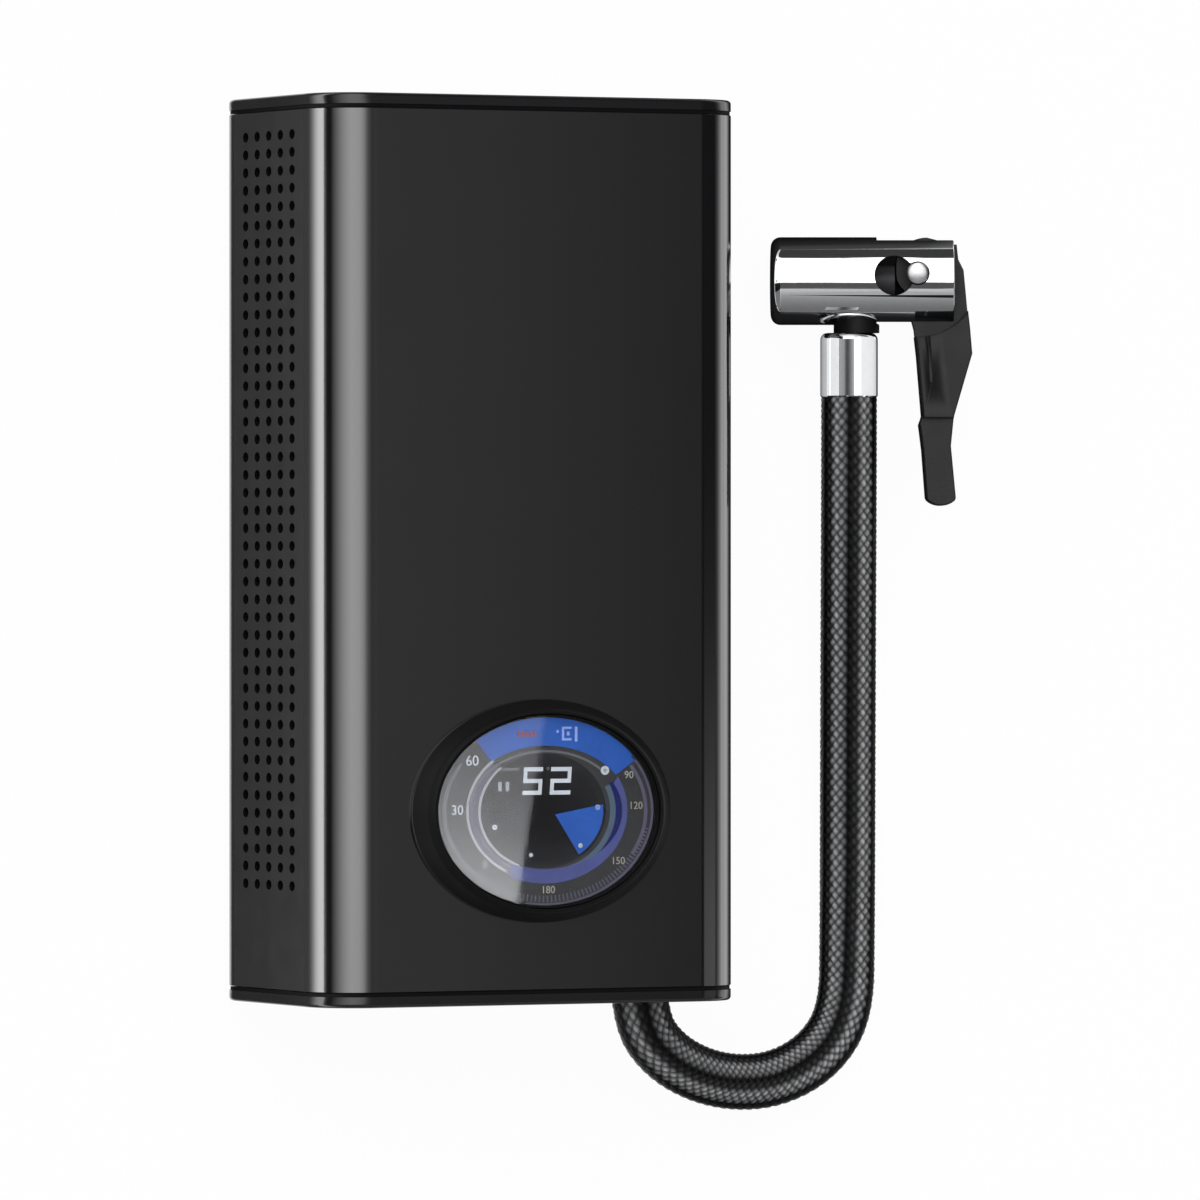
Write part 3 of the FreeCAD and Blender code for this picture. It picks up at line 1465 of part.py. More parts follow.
save("pump_frame", pump_frame())
save("pump_pads", *pump_pads())
save("motor_can", motor_can())
save("motor_magnets", motor_magnets())
save("motor_rotor", motor_rotor())
save("motor_shaft", motor_shaft())
save("motor_screws", *motor_screws())
save("motor_fan", motor_fan())
save("motor_pinion", gear(motor_x, motor_height, pinion_teeth, math.pi, gear_front_y, gear_back_y,
                          motor_shaft_radius))
save("drive_gear", drive_gear())
save("crank_shaft", crank_shaft())
save("crank_bearings", *crank_bearings())
save("crank_clip", crank_clip())
save("piston_rod", piston_rod())
save("piston_seal", piston_seal())
save("pump_cylinder", pump_cylinder())
save("valve_plate", valve_plate())
save("head_gasket", head_gasket())
save("outlet_reed", outlet_reed())
save("cylinder_head", cylinder_head())
save("head_screws", *head_screws())
save("pressure_sensor", pressure_sensor())
save("outlet_barb", outlet_barb())
save("inner_hose", inner_hose())

save("hose_gland", hose_gland())
save("hose_tube", hose_tube())
save("hose_ferrule", placed(hose_ferrule()))
save("hose_collar", placed(hose_collar()))
save("chuck_body", placed(chuck_body()))
save("pivot_pin", placed(pivot_pin()))
save("chuck_plunger", placed(chuck_plunger()))
save("valve_seal", placed(valve_seal()))
save("chuck_lever", placed(chuck_lever()))
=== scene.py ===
import math

import bmesh
import bpy
import numpy as np
from mathutils import Matrix, Vector


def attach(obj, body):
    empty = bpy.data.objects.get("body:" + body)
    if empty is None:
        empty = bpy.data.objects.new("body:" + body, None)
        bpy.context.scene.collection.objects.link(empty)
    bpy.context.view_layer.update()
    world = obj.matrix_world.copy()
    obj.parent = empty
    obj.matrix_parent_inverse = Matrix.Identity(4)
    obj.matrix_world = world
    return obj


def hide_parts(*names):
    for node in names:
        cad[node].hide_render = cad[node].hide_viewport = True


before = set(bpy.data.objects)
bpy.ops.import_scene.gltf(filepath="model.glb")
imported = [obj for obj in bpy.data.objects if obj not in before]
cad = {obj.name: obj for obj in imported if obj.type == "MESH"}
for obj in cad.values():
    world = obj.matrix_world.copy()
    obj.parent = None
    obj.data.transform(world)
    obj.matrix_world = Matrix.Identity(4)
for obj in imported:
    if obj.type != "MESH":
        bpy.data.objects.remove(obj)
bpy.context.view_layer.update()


# The pump frame, one aluminium die casting that carries motor, crank and cylinder, on four rubber
# pads. Its skin is the fine grain that a die leaves. Every cast, moulded or machined finish after
# it is the same kind of skin with its own colour, grain size and stretch.

def shade(red, green, blue):
    """A colour as a screen shows it, 0 to 255, turned into what a shader takes."""
    return tuple(
        (v / 255) / 12.92 if v <= 10 else ((v / 255 + 0.055) / 1.055) ** 2.4
        for v in (red, green, blue)
    )


def feed(node, inputs):
    """Gives a node's inputs values, outputs or lists of outputs; a node means its first output."""
    for label, sources in inputs.items():
        for source in sources if isinstance(sources, list) else [sources]:
            if isinstance(source, bpy.types.Node):
                source = source.outputs[0]
            if isinstance(source, bpy.types.NodeSocket):
                node.id_data.links.new(source, node.inputs[label])
            else:
                node.inputs[label].default_value = source
    return node


def add_node(tree, kind, inputs=None, **settings):
    """A new node in a tree, set first and then fed."""
    node = tree.nodes.new(kind)
    for label, setting in settings.items():
        setattr(node, label, setting)
    return feed(node, inputs or {})


def reckon(tree, operation, *terms):
    """A Math node at work on one or two terms."""
    return add_node(tree, "ShaderNodeMath", dict(enumerate(terms)), operation=operation)


def skin_tree():
    """The group that every finish uses: colour in blotches and grain, roughness, and a height."""
    tree = bpy.data.node_groups.new("surface_skin", "ShaderNodeTree")
    for in_out, sockets in (
        ("INPUT", (("Colour", "Color"), ("Tone spread", "Float"), ("Grain per metre", "Float"),
                   ("Blotches per metre", "Float"), ("Stretch", "Vector"),
                   ("Roughness", "Float"), ("Roughness spread", "Float"))),
        ("OUTPUT", (("Colour", "Color"), ("Roughness", "Float"), ("Height", "Float"))),
    ):
        for name, kind in sockets:
            tree.interface.new_socket(name, in_out=in_out, socket_type="NodeSocket" + kind)
    given = add_node(tree, "NodeGroupInput").outputs
    place = add_node(tree, "ShaderNodeTexCoord").outputs["Object"]
    stretched = add_node(tree, "ShaderNodeVectorMath", {0: place, 1: given["Stretch"]},
                         operation="MULTIPLY")
    grain = add_node(tree, "ShaderNodeTexNoise", {
        "Vector": stretched, "Scale": given["Grain per metre"], "Detail": 3})
    blotch = add_node(tree, "ShaderNodeTexNoise", {
        "Vector": place, "Scale": given["Blotches per metre"], "Detail": 2})
    blend = reckon(tree, "ADD", grain, blotch)
    blend_low, blend_high = 0.7, 1.3

    def spread_round(centre, reach):
        """The mixed noise, drawn out to a centre plus or minus a reach."""
        return add_node(tree, "ShaderNodeMapRange", {
            "Value": blend, "From Min": blend_low, "From Max": blend_high,
            "To Min": reckon(tree, "SUBTRACT", centre, reach),
            "To Max": reckon(tree, "ADD", centre, reach)})

    tinted = add_node(tree, "ShaderNodeVectorMath", {
        0: given["Colour"], "Scale": spread_round(1.0, given["Tone spread"])}, operation="SCALE")
    add_node(tree, "NodeGroupOutput", {
        "Colour": tinted, "Height": grain,
        "Roughness": spread_round(given["Roughness"], given["Roughness spread"])})
    return tree


surface_skin = skin_tree()


def finish(name, colour, rough, rough_spread=0.05, tone=0.12, grain=2500.0, blotches=90.0,
           stretch=(1, 1, 1), relief=0.00001, metallic=0.0, ior=1.5, specular=0.5):
    """A finish with the skin's grain in its colour, roughness and relief."""
    paint = bpy.data.materials.new(name)
    paint.use_nodes = True
    tree = paint.node_tree
    skin = add_node(tree, "ShaderNodeGroup", {
        "Colour": (*colour, 1), "Tone spread": tone, "Grain per metre": grain,
        "Blotches per metre": blotches, "Stretch": stretch, "Roughness": rough,
        "Roughness spread": rough_spread}, node_tree=surface_skin, name="skin")
    bump = add_node(tree, "ShaderNodeBump", {"Distance": relief, "Height": skin.outputs["Height"]})
    feed(tree.nodes["Principled BSDF"], {
        "Base Color": skin, "Roughness": skin.outputs["Roughness"], "Normal": bump,
        "Metallic": metallic, "IOR": ior, "Specular IOR Level": specular})
    return paint


def dress(paint, *names):
    """Puts a finish on CAD pieces that keep their own shape."""
    for name in names:
        for place in range(len(cad[name].data.materials)):
            cad[name].data.materials[place] = paint


cast_alloy = finish("cast_alloy", shade(150, 152, 154), 0.46, 0.1, 0.14, 1600.0, 70.0,
                    relief=0.00004, metallic=1.0)
pad_rubber = finish("pad_rubber", shade(24, 24, 25), 0.82, 0.08, 0.2, 1500.0, 120.0,
                    relief=0.00003)
dress(cast_alloy, "pump_frame")
dress(pad_rubber, "pump_pads")


# The motor: a rolled steel can with two ferrite shells, a wound rotor on a ground shaft, a brass
# coloured steel pinion, and a white nylon fan pressed on behind. Two screws hold it to the frame.

bright_steel = finish("bright_steel", shade(186, 187, 186), 0.26, 0.09, 0.1, 900.0, 60.0,
                      stretch=(1, 0.06, 1), metallic=1.0)
screw_steel = finish("screw_steel", shade(58, 58, 60), 0.34, 0.1, 0.2, 2600.0, 300.0,
                     metallic=1.0)
magnet_grey = finish("magnet_grey", shade(72, 72, 76), 0.5, 0.12, 0.18, 1400.0, 120.0,
                     relief=0.00003, metallic=0.7)
fan_nylon = finish("fan_nylon", shade(214, 212, 202), 0.42, 0.06, 0.05, 1800.0, 60.0,
                   relief=0.00002)
dress(bright_steel, "motor_can", "motor_shaft", "motor_pinion")
dress(magnet_grey, "motor_magnets", "motor_rotor")
dress(screw_steel, "motor_screws")
dress(fan_nylon, "motor_fan")


# The crank: a cut steel gear on a ground shaft in two bearings, kept by a spring clip. The gear is
# oiled, so it is darker and smoother than the dry steel beside it.

gear_steel = finish("gear_steel", shade(118, 117, 114), 0.24, 0.08, 0.16, 1200.0, 140.0,
                    stretch=(1, 0.2, 1), relief=0.00002, metallic=1.0)
dress(gear_steel, "drive_gear")
dress(bright_steel, "crank_shaft", "crank_bearings", "crank_clip")


# The rod, cast in one with its wobble piston, and the lip seal that is clamped on its crown. The
# piston tilts as the crank turns, so the seal is soft rubber.

dress(cast_alloy, "piston_rod")
dress(pad_rubber, "piston_seal")


# The cylinder: a honed steel liner, a valve plate with its leaf, a gasket and the cast head, drawn
# together by four screws.

dress(bright_steel, "pump_cylinder", "valve_plate", "outlet_reed")
dress(pad_rubber, "head_gasket")
dress(cast_alloy, "cylinder_head")
dress(screw_steel, "head_screws")


# The outlet: a turned brass barb, a short rubber hose to the gland in the bottom cap, and the white
# moulded pressure sensor on the head.

brass = finish("fitting_brass", shade(196, 158, 84), 0.24, 0.08, 0.1, 1200.0, 120.0,
               stretch=(1, 0.1, 1), metallic=1.0)
dress(brass, "outlet_barb", "hose_gland")
dress(pad_rubber, "inner_hose")
dress(fan_nylon, "pressure_sensor")


# The battery: three lithium cells in shrink film, welded nickel strips, a black moulded tray and
# red leads to the board.

cell_film = finish("cell_film", shade(34, 86, 150), 0.32, 0.05, 0.1, 700.0, 40.0,
                   stretch=(1, 0.3, 1), relief=0.00002)
nickel = finish("strip_nickel", shade(178, 172, 158), 0.3, 0.08, 0.1, 900.0, 90.0,
                stretch=(0.1, 1, 1), metallic=1.0)
tray_plastic = finish("tray_plastic", shade(34, 34, 36), 0.55, 0.06, 0.12, 2200.0, 90.0,
                      relief=0.00002)
lead_red = finish("lead_red", shade(158, 26, 20), 0.4, 0.06, 0.1, 1500.0, 90.0)
dress(cell_film, "battery_cells")
dress(nickel, "battery_strips")
dress(tray_plastic, "battery_tray")
dress(lead_red, "inner_leads")


# The boards: green glass-fibre laminate with its woven cloth just showing, black moulded parts, and
# the drawn steel charging socket soldered to the main board.

laminate = finish("board_laminate", shade(16, 72, 40), 0.3, 0.08, 0.22, 1400.0, 160.0,
                  relief=0.00003)
part_black = finish("part_black", shade(22, 22, 24), 0.42, 0.08, 0.15, 2600.0, 200.0,
                    relief=0.00002)
dress(laminate, "control_board", "switch_board", "display_board")
dress(part_black, "board_parts", "tactile_switches")
dress(bright_steel, "charge_port")


# The casing, one aluminium extrusion, black and glossy on its front and corners, finely blasted on
# its two sides. Five columns of 43 small vents are drilled through each side, and an oval window
# is cut for the gauge's neck. It slides over the pump and the battery.

casing_half_width = 0.04275
casing_half_length = 0.0799
casing_depth = 0.05
casing_corner = 0.010
casing_wall = 0.0018
casing_edge = 0.00025
vent_radius = 0.00105
vent_drawn = (1.12, 0.88, 1.0)
vent_sides = 14
vent_pitch = 0.00324
vent_column_pitch = 0.005
vent_rows = 43
vent_columns = 5
vent_last_y = 0.0753
gauge_y = -0.0473
window_reach_x = 0.02275
window_reach_y = 0.01755
window_sides = 96
merge_distance = 0.000001
casing_gloss = finish("casing_gloss", shade(17, 17, 19), 0.1, 0.015, 0.06, 2400.0, 45.0,
                      relief=0.000001, ior=1.8)
casing_satin = finish("casing_satin", shade(46, 46, 47), 0.45, 0.05, 0.12, 5200.0, 160.0,
                      relief=0.000012, specular=0.16)


def section_outline(inset, steps=40):
    """The extrusion's outline in X and Z, drawn inwards by an inset."""
    radius = casing_corner - inset
    low, high = inset + radius, casing_depth - inset - radius
    side = casing_half_width - inset - radius
    points = []
    for x, z, first in ((side, high, 0), (-side, high, 90), (-side, low, 180), (side, low, 270)):
        for step in range(steps + 1):
            turn = math.radians(first + 90 * step / steps)
            points.append((x + radius * math.cos(turn), z + radius * math.sin(turn)))
    return points


def join_rows(shape, rows, ring=True):
    """Faces from each row of corners to the next; in a ring the last corner joins the first."""
    made = []
    for here, there in zip(rows, rows[1:]):
        for i in range(len(here) if ring else len(here) - 1):
            j = (i + 1) % len(here)
            corners = list(dict.fromkeys((here[i], here[j], there[j], there[i])))
            if len(corners) > 2:
                made.append(shape.faces.new(corners))
    return made


def ring_solid(rings, capped=False):
    """A closed solid from ring to ring of points, and then back to the first, or capped flat."""
    shape = bmesh.new()
    rows = [[shape.verts.new(point) for point in ring] for ring in rings]
    if capped:
        shape.faces.new(rows[0])
        shape.faces.new(rows[-1])
    join_rows(shape, rows if capped else rows + rows[:1])
    bmesh.ops.recalc_face_normals(shape, faces=shape.faces)
    return shape


def plain(piece):
    """The piece with its modifiers worked in and taken off."""
    graph = bpy.context.evaluated_depsgraph_get()
    shown = piece.evaluated_get(graph)
    mesh = bpy.data.meshes.new_from_object(shown, preserve_all_data_layers=True, depsgraph=graph)
    piece.modifiers.clear()
    piece.data = mesh
    return piece


def new_piece(name, shape, paints, crease=30):
    """An object of a finished shape, round faces smooth and corners sharp, in its finishes."""
    for face in shape.faces:
        face.smooth = True
    for edge in shape.edges:
        if len(edge.link_faces) == 2 and edge.calc_face_angle() > math.radians(crease):
            edge.smooth = False
    mesh = bpy.data.meshes.new(name)
    shape.to_mesh(mesh)
    shape.free()
    piece = bpy.data.objects.new(name, mesh)
    bpy.context.scene.collection.objects.link(piece)
    for paint in paints:
        mesh.materials.append(paint)
    weights = piece.modifiers.new("weights", "WEIGHTED_NORMAL")
    weights.keep_sharp = True
    return plain(piece)


def socket_tree(name, sizes):
    """A geometry tree with one input for each named size, and the outputs that give them."""
    tree = bpy.data.node_groups.new(name, "GeometryNodeTree")
    for in_out in ("INPUT", "OUTPUT"):
        tree.interface.new_socket("Geometry", in_out=in_out, socket_type="NodeSocketGeometry")
    for label, value in sizes.items():
        kind = {int: "Int", float: "Float", tuple: "Vector"}[type(value)]
        tree.interface.new_socket(label, in_out="INPUT", socket_type="NodeSocket" + kind)
    return tree, add_node(tree, "NodeGroupInput").outputs


def painted(tree, made, paint):
    """The tree, ended: its instances made real and its finish put on."""
    real = add_node(tree, "GeometryNodeRealizeInstances", {"Geometry": made})
    coat = add_node(tree, "GeometryNodeSetMaterial", {"Geometry": real, "Material": paint})
    add_node(tree, "NodeGroupOutput", {"Geometry": coat})
    return tree


def grow(piece, tree, sizes):
    """Runs a geometry tree on a piece with these sizes and keeps the plain mesh."""
    modifier = piece.modifiers.new(tree.name, "NODES")
    modifier.node_group = tree
    for item in tree.interface.items_tree:
        if item.in_out == "INPUT" and item.name in sizes:
            modifier[item.identifier] = sizes[item.name]
    return plain(piece)


def perforate_tree(sizes, paint):
    """Drills rows of vents through both side walls, and cuts the gauge's window."""
    tree, given = socket_tree("perforate", sizes)
    drill = add_node(tree, "GeometryNodeMeshCylinder", {
        "Vertices": vent_sides, "Radius": given["Vent radius"], "Depth": given["Drill length"]})
    laid = add_node(tree, "GeometryNodeTransform", {
        "Geometry": drill, "Rotation": (0, math.pi / 2, 0), "Scale": vent_drawn})
    grid = add_node(tree, "GeometryNodeMeshGrid", {
        "Size X": given["Field depth"], "Size Y": given["Field length"],
        "Vertices X": given["Columns"], "Vertices Y": given["Rows"]})
    stood = add_node(tree, "GeometryNodeTransform", {
        "Geometry": grid, "Rotation": (0, -math.pi / 2, 0), "Translation": given["Field place"]})
    vents = add_node(tree, "GeometryNodeInstanceOnPoints", {"Points": stood, "Instance": laid})
    drilled = add_node(tree, "GeometryNodeRealizeInstances", {"Geometry": vents})
    punch = add_node(tree, "GeometryNodeMeshCylinder", {
        "Vertices": window_sides, "Radius": 1.0, "Depth": 1.0})
    punched = add_node(tree, "GeometryNodeTransform", {
        "Geometry": punch, "Translation": given["Window place"], "Scale": given["Window size"]})
    cut = add_node(tree, "GeometryNodeMeshBoolean", {
        "Mesh 1": given["Geometry"], "Mesh 2": [drilled, punched]},
        operation="DIFFERENCE", solver="MANIFOLD")
    return painted(tree, cut, paint)


casing_rings = [
    [(x, y, z) for x, z in section_outline(inset)]
    for inset, y in (
        (casing_edge, -casing_half_length),
        (0, -casing_half_length + casing_edge),
        (0, casing_half_length - casing_edge),
        (casing_edge, casing_half_length),
        (casing_wall, casing_half_length),
        (casing_wall, -casing_half_length),
    )
]
casing_start = new_piece("casing_sleeve_shell", ring_solid(casing_rings), [casing_gloss])
vent_field = vent_pitch * (vent_rows - 1)
perforation = {
    "Vent radius": vent_radius,
    "Drill length": 2 * casing_depth,
    "Field depth": vent_column_pitch * (vent_columns - 1),
    "Field length": vent_field,
    "Columns": vent_columns,
    "Rows": vent_rows,
    "Field place": (0.0, vent_last_y - vent_field / 2, casing_depth / 2),
    "Window place": (0.0, gauge_y, casing_depth - casing_wall / 2),
    "Window size": (window_reach_x, window_reach_y, casing_wall * 3),
}
casing_cut = grow(casing_start, perforate_tree(perforation, casing_gloss), perforation)
bored = bmesh.new()
bored.from_mesh(casing_cut.data)
bmesh.ops.remove_doubles(bored, verts=bored.verts, dist=merge_distance)
side_plane, side_facing = casing_half_width - 0.00001, 0.9999
for face in bored.faces:
    if abs(face.normal.x) > side_facing and abs(face.calc_center_median().x) > side_plane:
        face.material_index = 1
bpy.data.objects.remove(casing_cut)
casing_shell = new_piece("casing_sleeve_shell", bored, [casing_gloss, casing_satin])
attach(casing_shell, "inflator")
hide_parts("casing_sleeve")


# The gauge, built up on the casing's window: the foam gasket and the moulded retainer with its four
# screws from behind, the display board, the printed dial, the clear window and the black bezel.

bezel_black = finish("bezel_black", shade(22, 22, 23), 0.34, 0.04, 0.1, 2600.0, 80.0,
                     relief=0.000004, specular=0.1)
bezel_crown = finish("bezel_crown", shade(21, 21, 22), 0.4, 0.04, 0.1, 2600.0, 80.0,
                     relief=0.000004, specular=0.05)
# The foot ring is painted lighter than the rest of the bezel: a painted highlight along its base.
bezel_foot_highlight = finish("bezel_foot_highlight", shade(34, 34, 36), 0.2, 0.03, 0.1, 2600.0, 80.0,
                    relief=0.000002)
dress(pad_rubber, "gauge_gasket")
dress(tray_plastic, "gauge_retainer")
dress(screw_steel, "gauge_screws")
oval_steps = 160


def oval(reach_x, reach_y, z):
    """A level oval ring of points round the gauge's centre, sizes in millimetres."""
    turns = [math.tau * step / oval_steps for step in range(oval_steps)]
    return [(0.001 * reach_x * math.cos(turn), gauge_y + 0.001 * reach_y * math.sin(turn),
             0.001 * z) for turn in turns]


def oval_share(place, reach_x, reach_y):
    """How far out a place is on an oval round the gauge's centre, as a share of its reach."""
    return math.hypot(place.x / (0.001 * reach_x), (place.y - gauge_y) / (0.001 * reach_y))


bezel_rings = (
    (26.25, 20.3, 50.0), (26.25, 20.3, 50.45), (26.1, 20.18, 50.68), (25.2, 19.54, 51.72),
    (24.1, 18.86, 52.9), (23.75, 18.6, 53.3), (23.35, 18.26, 53.62), (23.1, 18.03, 53.76),
    (22.9, 17.9, 53.8), (22.72, 17.78, 53.74), (22.6, 17.7, 53.6), (22.6, 17.7, 50.9),
    (19.4, 14.2, 50.9), (19.4, 14.2, 47.4), (22.6, 17.4, 47.4), (22.6, 17.4, 50.0),
)
foot_share, well_share, crown_z = 0.99, 0.88, 0.0529
bezel_shape = ring_solid([oval(*ring) for ring in bezel_rings])
for face in bezel_shape.faces:
    middle = face.calc_center_median()
    share = oval_share(middle, 26.25, 20.3)
    if share > foot_share:
        face.material_index = 1
    elif middle.z > crown_z or share < well_share:
        face.material_index = 2
bezel = new_piece("gauge_bezel_ring", bezel_shape, [bezel_black, bezel_foot_highlight, bezel_crown],
                  crease=50)
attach(bezel, "inflator")
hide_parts("gauge_bezel")


# The dial, a polycarbonate disc printed from behind: a blue scale zone along the top, rings and
# numbers round it, and the lit digits and sector of the display in the middle. All of it generic.
# Every ink glows a little in its own colour, the dark disc too: painted light in place of the light
# that falls on the dial through the window.

dial_top = 0.0517
dial_thickness = 0.0008
print_height = 0.00003
print_merge, print_sliver = 0.0000005, 0.0000004
dial_black = finish("dial_black", shade(14, 14, 17), 0.35, 0.05, 0.12, 2200.0, 60.0,
                    relief=0.000002)


def printed(name, colour, painted_glow):
    """A printed patch of the dial, a little uneven as ink is, that glows in its own colour as
    painted light.
    """
    ink = finish(name, colour, 0.42, 0.05, 0.1, 2600.0, 220.0, relief=0.000002, specular=0.18)
    nodes = ink.node_tree.nodes
    feed(nodes["Principled BSDF"], {"Emission Color": nodes["skin"], "Emission Strength": painted_glow})
    return ink


# Each ink's colour, and how strongly it glows as painted light.
ink_tones = {
    "disc": ((16, 15, 18), 0.2),
    "blue": ((26, 68, 138), 0.55),
    "line": ((92, 92, 94), 0.1),
    "teal": ((66, 82, 96), 0.25),
    "navy": ((6, 14, 78), 0.25),
    "violet": ((64, 70, 118), 0.24),
    "white": ((176, 180, 186), 0.35),
    "pale": ((152, 150, 136), 0.12),
    "rim": ((82, 78, 96), 0.12),
    "red": ((118, 50, 62), 0.2),
    "mark": ((128, 148, 200), 0.3),
    "silver": ((146, 146, 152), 0.2),
}
dial_inks = [dial_black]
for name, (tone, painted_glow) in ink_tones.items():
    dial_inks.append(printed("ink_" + name, shade(*tone), painted_glow))
ink_slots = {name: slot for slot, name in enumerate(ink_tones, 1)}
dial = ring_solid([oval(22.55, 17.65, 1000 * z) for z in (dial_top - dial_thickness, dial_top)],
                  capped=True)


def arc_points(reach_x, reach_y, first, last, steps, centre=(0, 0)):
    """Points along an oval, from one angle to another in degrees."""
    turns = [math.radians(first + (last - first) * step / steps) for step in range(steps + 1)]
    return [(centre[0] + reach_x * math.cos(turn), centre[1] + reach_y * math.sin(turn))
            for turn in turns]


def ink_patch(shape, slot, edges):
    """A thin closed patch of ink along its four edges, each a row of points."""
    rows = [[shape.verts.new(point) for point in edge] for edge in edges]
    made = join_rows(shape, rows + rows[:1], ring=False)
    made += [shape.faces.new([row[end] for row in rows]) for end in (0, -1)]
    for face in made:
        face.material_index = slot
    bmesh.ops.recalc_face_normals(shape, faces=made)


def dial_patch(inner, outer, layer, ink):
    """Ink on the dial between two rows of points in millimetres, as high as its layer."""
    ink_patch(dial, ink_slots[ink], [
        [(0.001 * x, gauge_y + 0.001 * y, dial_top + height * print_height) for x, y in row]
        for row, height in ((inner, 0), (outer, 0), (outer, layer), (inner, layer))])


def dial_arc(reach_in, reach_out, first, last, layer, ink, centre=(0, 0)):
    """Part of a ring between two ovals, from one angle to another in degrees."""
    steps = max(6, int(abs(last - first) / 3))
    dial_patch(arc_points(*reach_in, first, last, steps, centre),
               arc_points(*reach_out, first, last, steps, centre), layer, ink)


def dial_bar(x0, y0, x1, y1, ink, layer=4, lean=0.0):
    """A rectangle of ink, upright or leaning over to the right."""
    low, high = [[(x0 + lean * y, y), (x1 + lean * y, y)] for y in (y0, y1)]
    dial_patch(low, high, layer, ink)


def dial_digit(x, y, width, height, bars):
    """A digit of lit bars, named for top, middle, bottom, left and right."""
    stroke, half = 0.74, height / 2
    places = {
        "t": (x, y + height - stroke, x + width, y + height),
        "m": (x, y + half - stroke / 2, x + width, y + half + stroke / 2),
        "b": (x, y, x + width, y + stroke),
        "tl": (x, y + half, x + stroke, y + height),
        "tr": (x + width - stroke, y + half, x + width, y + height),
        "bl": (x, y, x + stroke, y + half),
        "br": (x + width - stroke, y, x + width, y + half),
    }
    for count, bar in enumerate(bars.split()):
        dial_bar(*places[bar], "white", layer=4 + count * 0.2, lean=0.07)


dial_arc((17.0, 11.9), (21.9, 17.0), 33, 130, 1, "blue")
dial_arc((13.1, 10.7), (14.2, 11.5), -80, 24, 1, "teal")
dial_arc((14.3, 11.6), (15.4, 12.1), -75, 26, 1, "navy")
dial_arc((15.6, 10.5), (16.6, 13.1), -116, 28, 2, "violet")
dial_arc((13.1, 10.5), (13.6, 10.9), 132, 246, 1, "silver")
dial_arc((14.3, 11.4), (14.5, 11.6), 132, 246, 1, "silver")
dial_arc((15.5, 12.2), (16.0, 12.7), 132, 240, 1, "silver")
dial_arc((15.2, 10.7), (15.7, 11.1), 42, 174, 2, "line")
dial_arc((20.0, 15.2), (20.7, 15.7), -30, 32, 1, "rim")
dial_arc((21.4, 16.7), (21.9, 17.1), -100, 36, 1, "rim")
dial_arc((13.7, 11.0), (15.4, 12.1), 134, 244, 1, "rim")
dial_arc((20.0, 15.4), (20.7, 15.9), 146, 236, 1, "line")
disc_middle = (-0.4, 0.1)
dial_arc((0.0, 0.0), (12.6, 10.4), 0, 360, 3, "disc", disc_middle)
sector_edge = arc_points(12.05, 9.9, 6, -54, 20, disc_middle)
dial_patch([(1.9, -0.6)] * len(sector_edge), sector_edge, 4, "blue")
dial_digit(-4.95, 3.0, 3.85, 5.0, "t tl m br b")
dial_digit(0.55, 3.0, 4.15, 5.0, "t tr m bl b")
for x, y, size, ink in ((0.45, 7.75, 0.32, "line"), (12.0, 7.3, 0.8, "white"),
                        (10.5, 0.6, 0.5, "mark"), (7.0, -6.3, 0.42, "white"),
                        (-3.0, -7.9, 0.36, "white"), (-10.3, -2.8, 0.5, "white")):
    dial_arc((0.0, 0.0), (size, size), 0, 360, 6, ink, (x, y))
dial_bar(-9.6, 3.7, -8.9, 5.4, "silver")
dial_bar(-8.1, 3.7, -7.4, 5.4, "silver")
dial_bar(-9.0, 7.4, -5.4, 7.9, "line")
for bar in ((3.3, 12.8, 3.7, 15.3), (3.75, 14.9, 5.2, 15.3), (3.75, 12.8, 5.2, 13.2),
            (4.3, 13.7, 4.8, 14.4), (5.9, 12.6, 6.4, 15.3), (2.2, 14.2, 2.6, 14.7)):
    dial_bar(*bar, "mark")
for x in (-5.7, -4.9, -4.1, -3.3, -2.5):
    dial_bar(x, 13.5, x + 0.55, 14.5, "red")
for words, x, y, size, ink in (
        ("0", -12.3, -9.5, 0.0021, "silver"), ("30", -17.8, 0.3, 0.0025, "white"),
        ("60", -14.8, 9.2, 0.0027, "white"), ("90", 16.9, 6.4, 0.0019, "pale"),
        ("120", 18.3, 0.8, 0.0019, "pale"), ("150", 14.7, -9.2, 0.0019, "pale"),
        ("180", 0.5, -14.3, 0.0019, "pale")):
    lettering = bpy.data.curves.new("scale_number", "FONT")
    lettering.body = words
    lettering.size = size
    lettering.extrude = print_height
    lettering.align_x = "CENTER"
    lettering.align_y = "CENTER"
    lettering.resolution_u = 3
    written = bpy.data.objects.new("scale_number", lettering)
    bpy.context.scene.collection.objects.link(written)
    graph = bpy.context.evaluated_depsgraph_get()
    glyphs = bpy.data.meshes.new_from_object(written.evaluated_get(graph))
    number_place = (0.001 * x, gauge_y + 0.001 * y, dial_top + 2 * print_height)
    glyphs.transform(Matrix.Translation(number_place))
    known = len(dial.faces)
    dial.from_mesh(glyphs)
    dial.faces.ensure_lookup_table()
    for face in dial.faces[known:]:
        face.material_index = ink_slots[ink]
    bpy.data.objects.remove(written)
bmesh.ops.remove_doubles(dial, verts=dial.verts, dist=print_merge)
bmesh.ops.dissolve_degenerate(dial, edges=dial.edges, dist=print_sliver)
dial_face = new_piece("dial_face", dial, dial_inks)
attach(dial_face, "inflator")
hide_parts("dial_plate")


# The scale's ticks, printed in the rim's grey ink, evenly along the dial's lower right. They stand
# no higher than the ink is thick.

ticks = {
    "Count": 62,
    "First angle": math.radians(-150.0),
    "Last angle": math.radians(-12.0),
    "Reach": (0.0206, 0.0159, 0.0),
    "Centre": (0.0, gauge_y, dial_top + 0.5 * print_height),
    "Tick size": (0.0012, 0.00026, print_height),
}


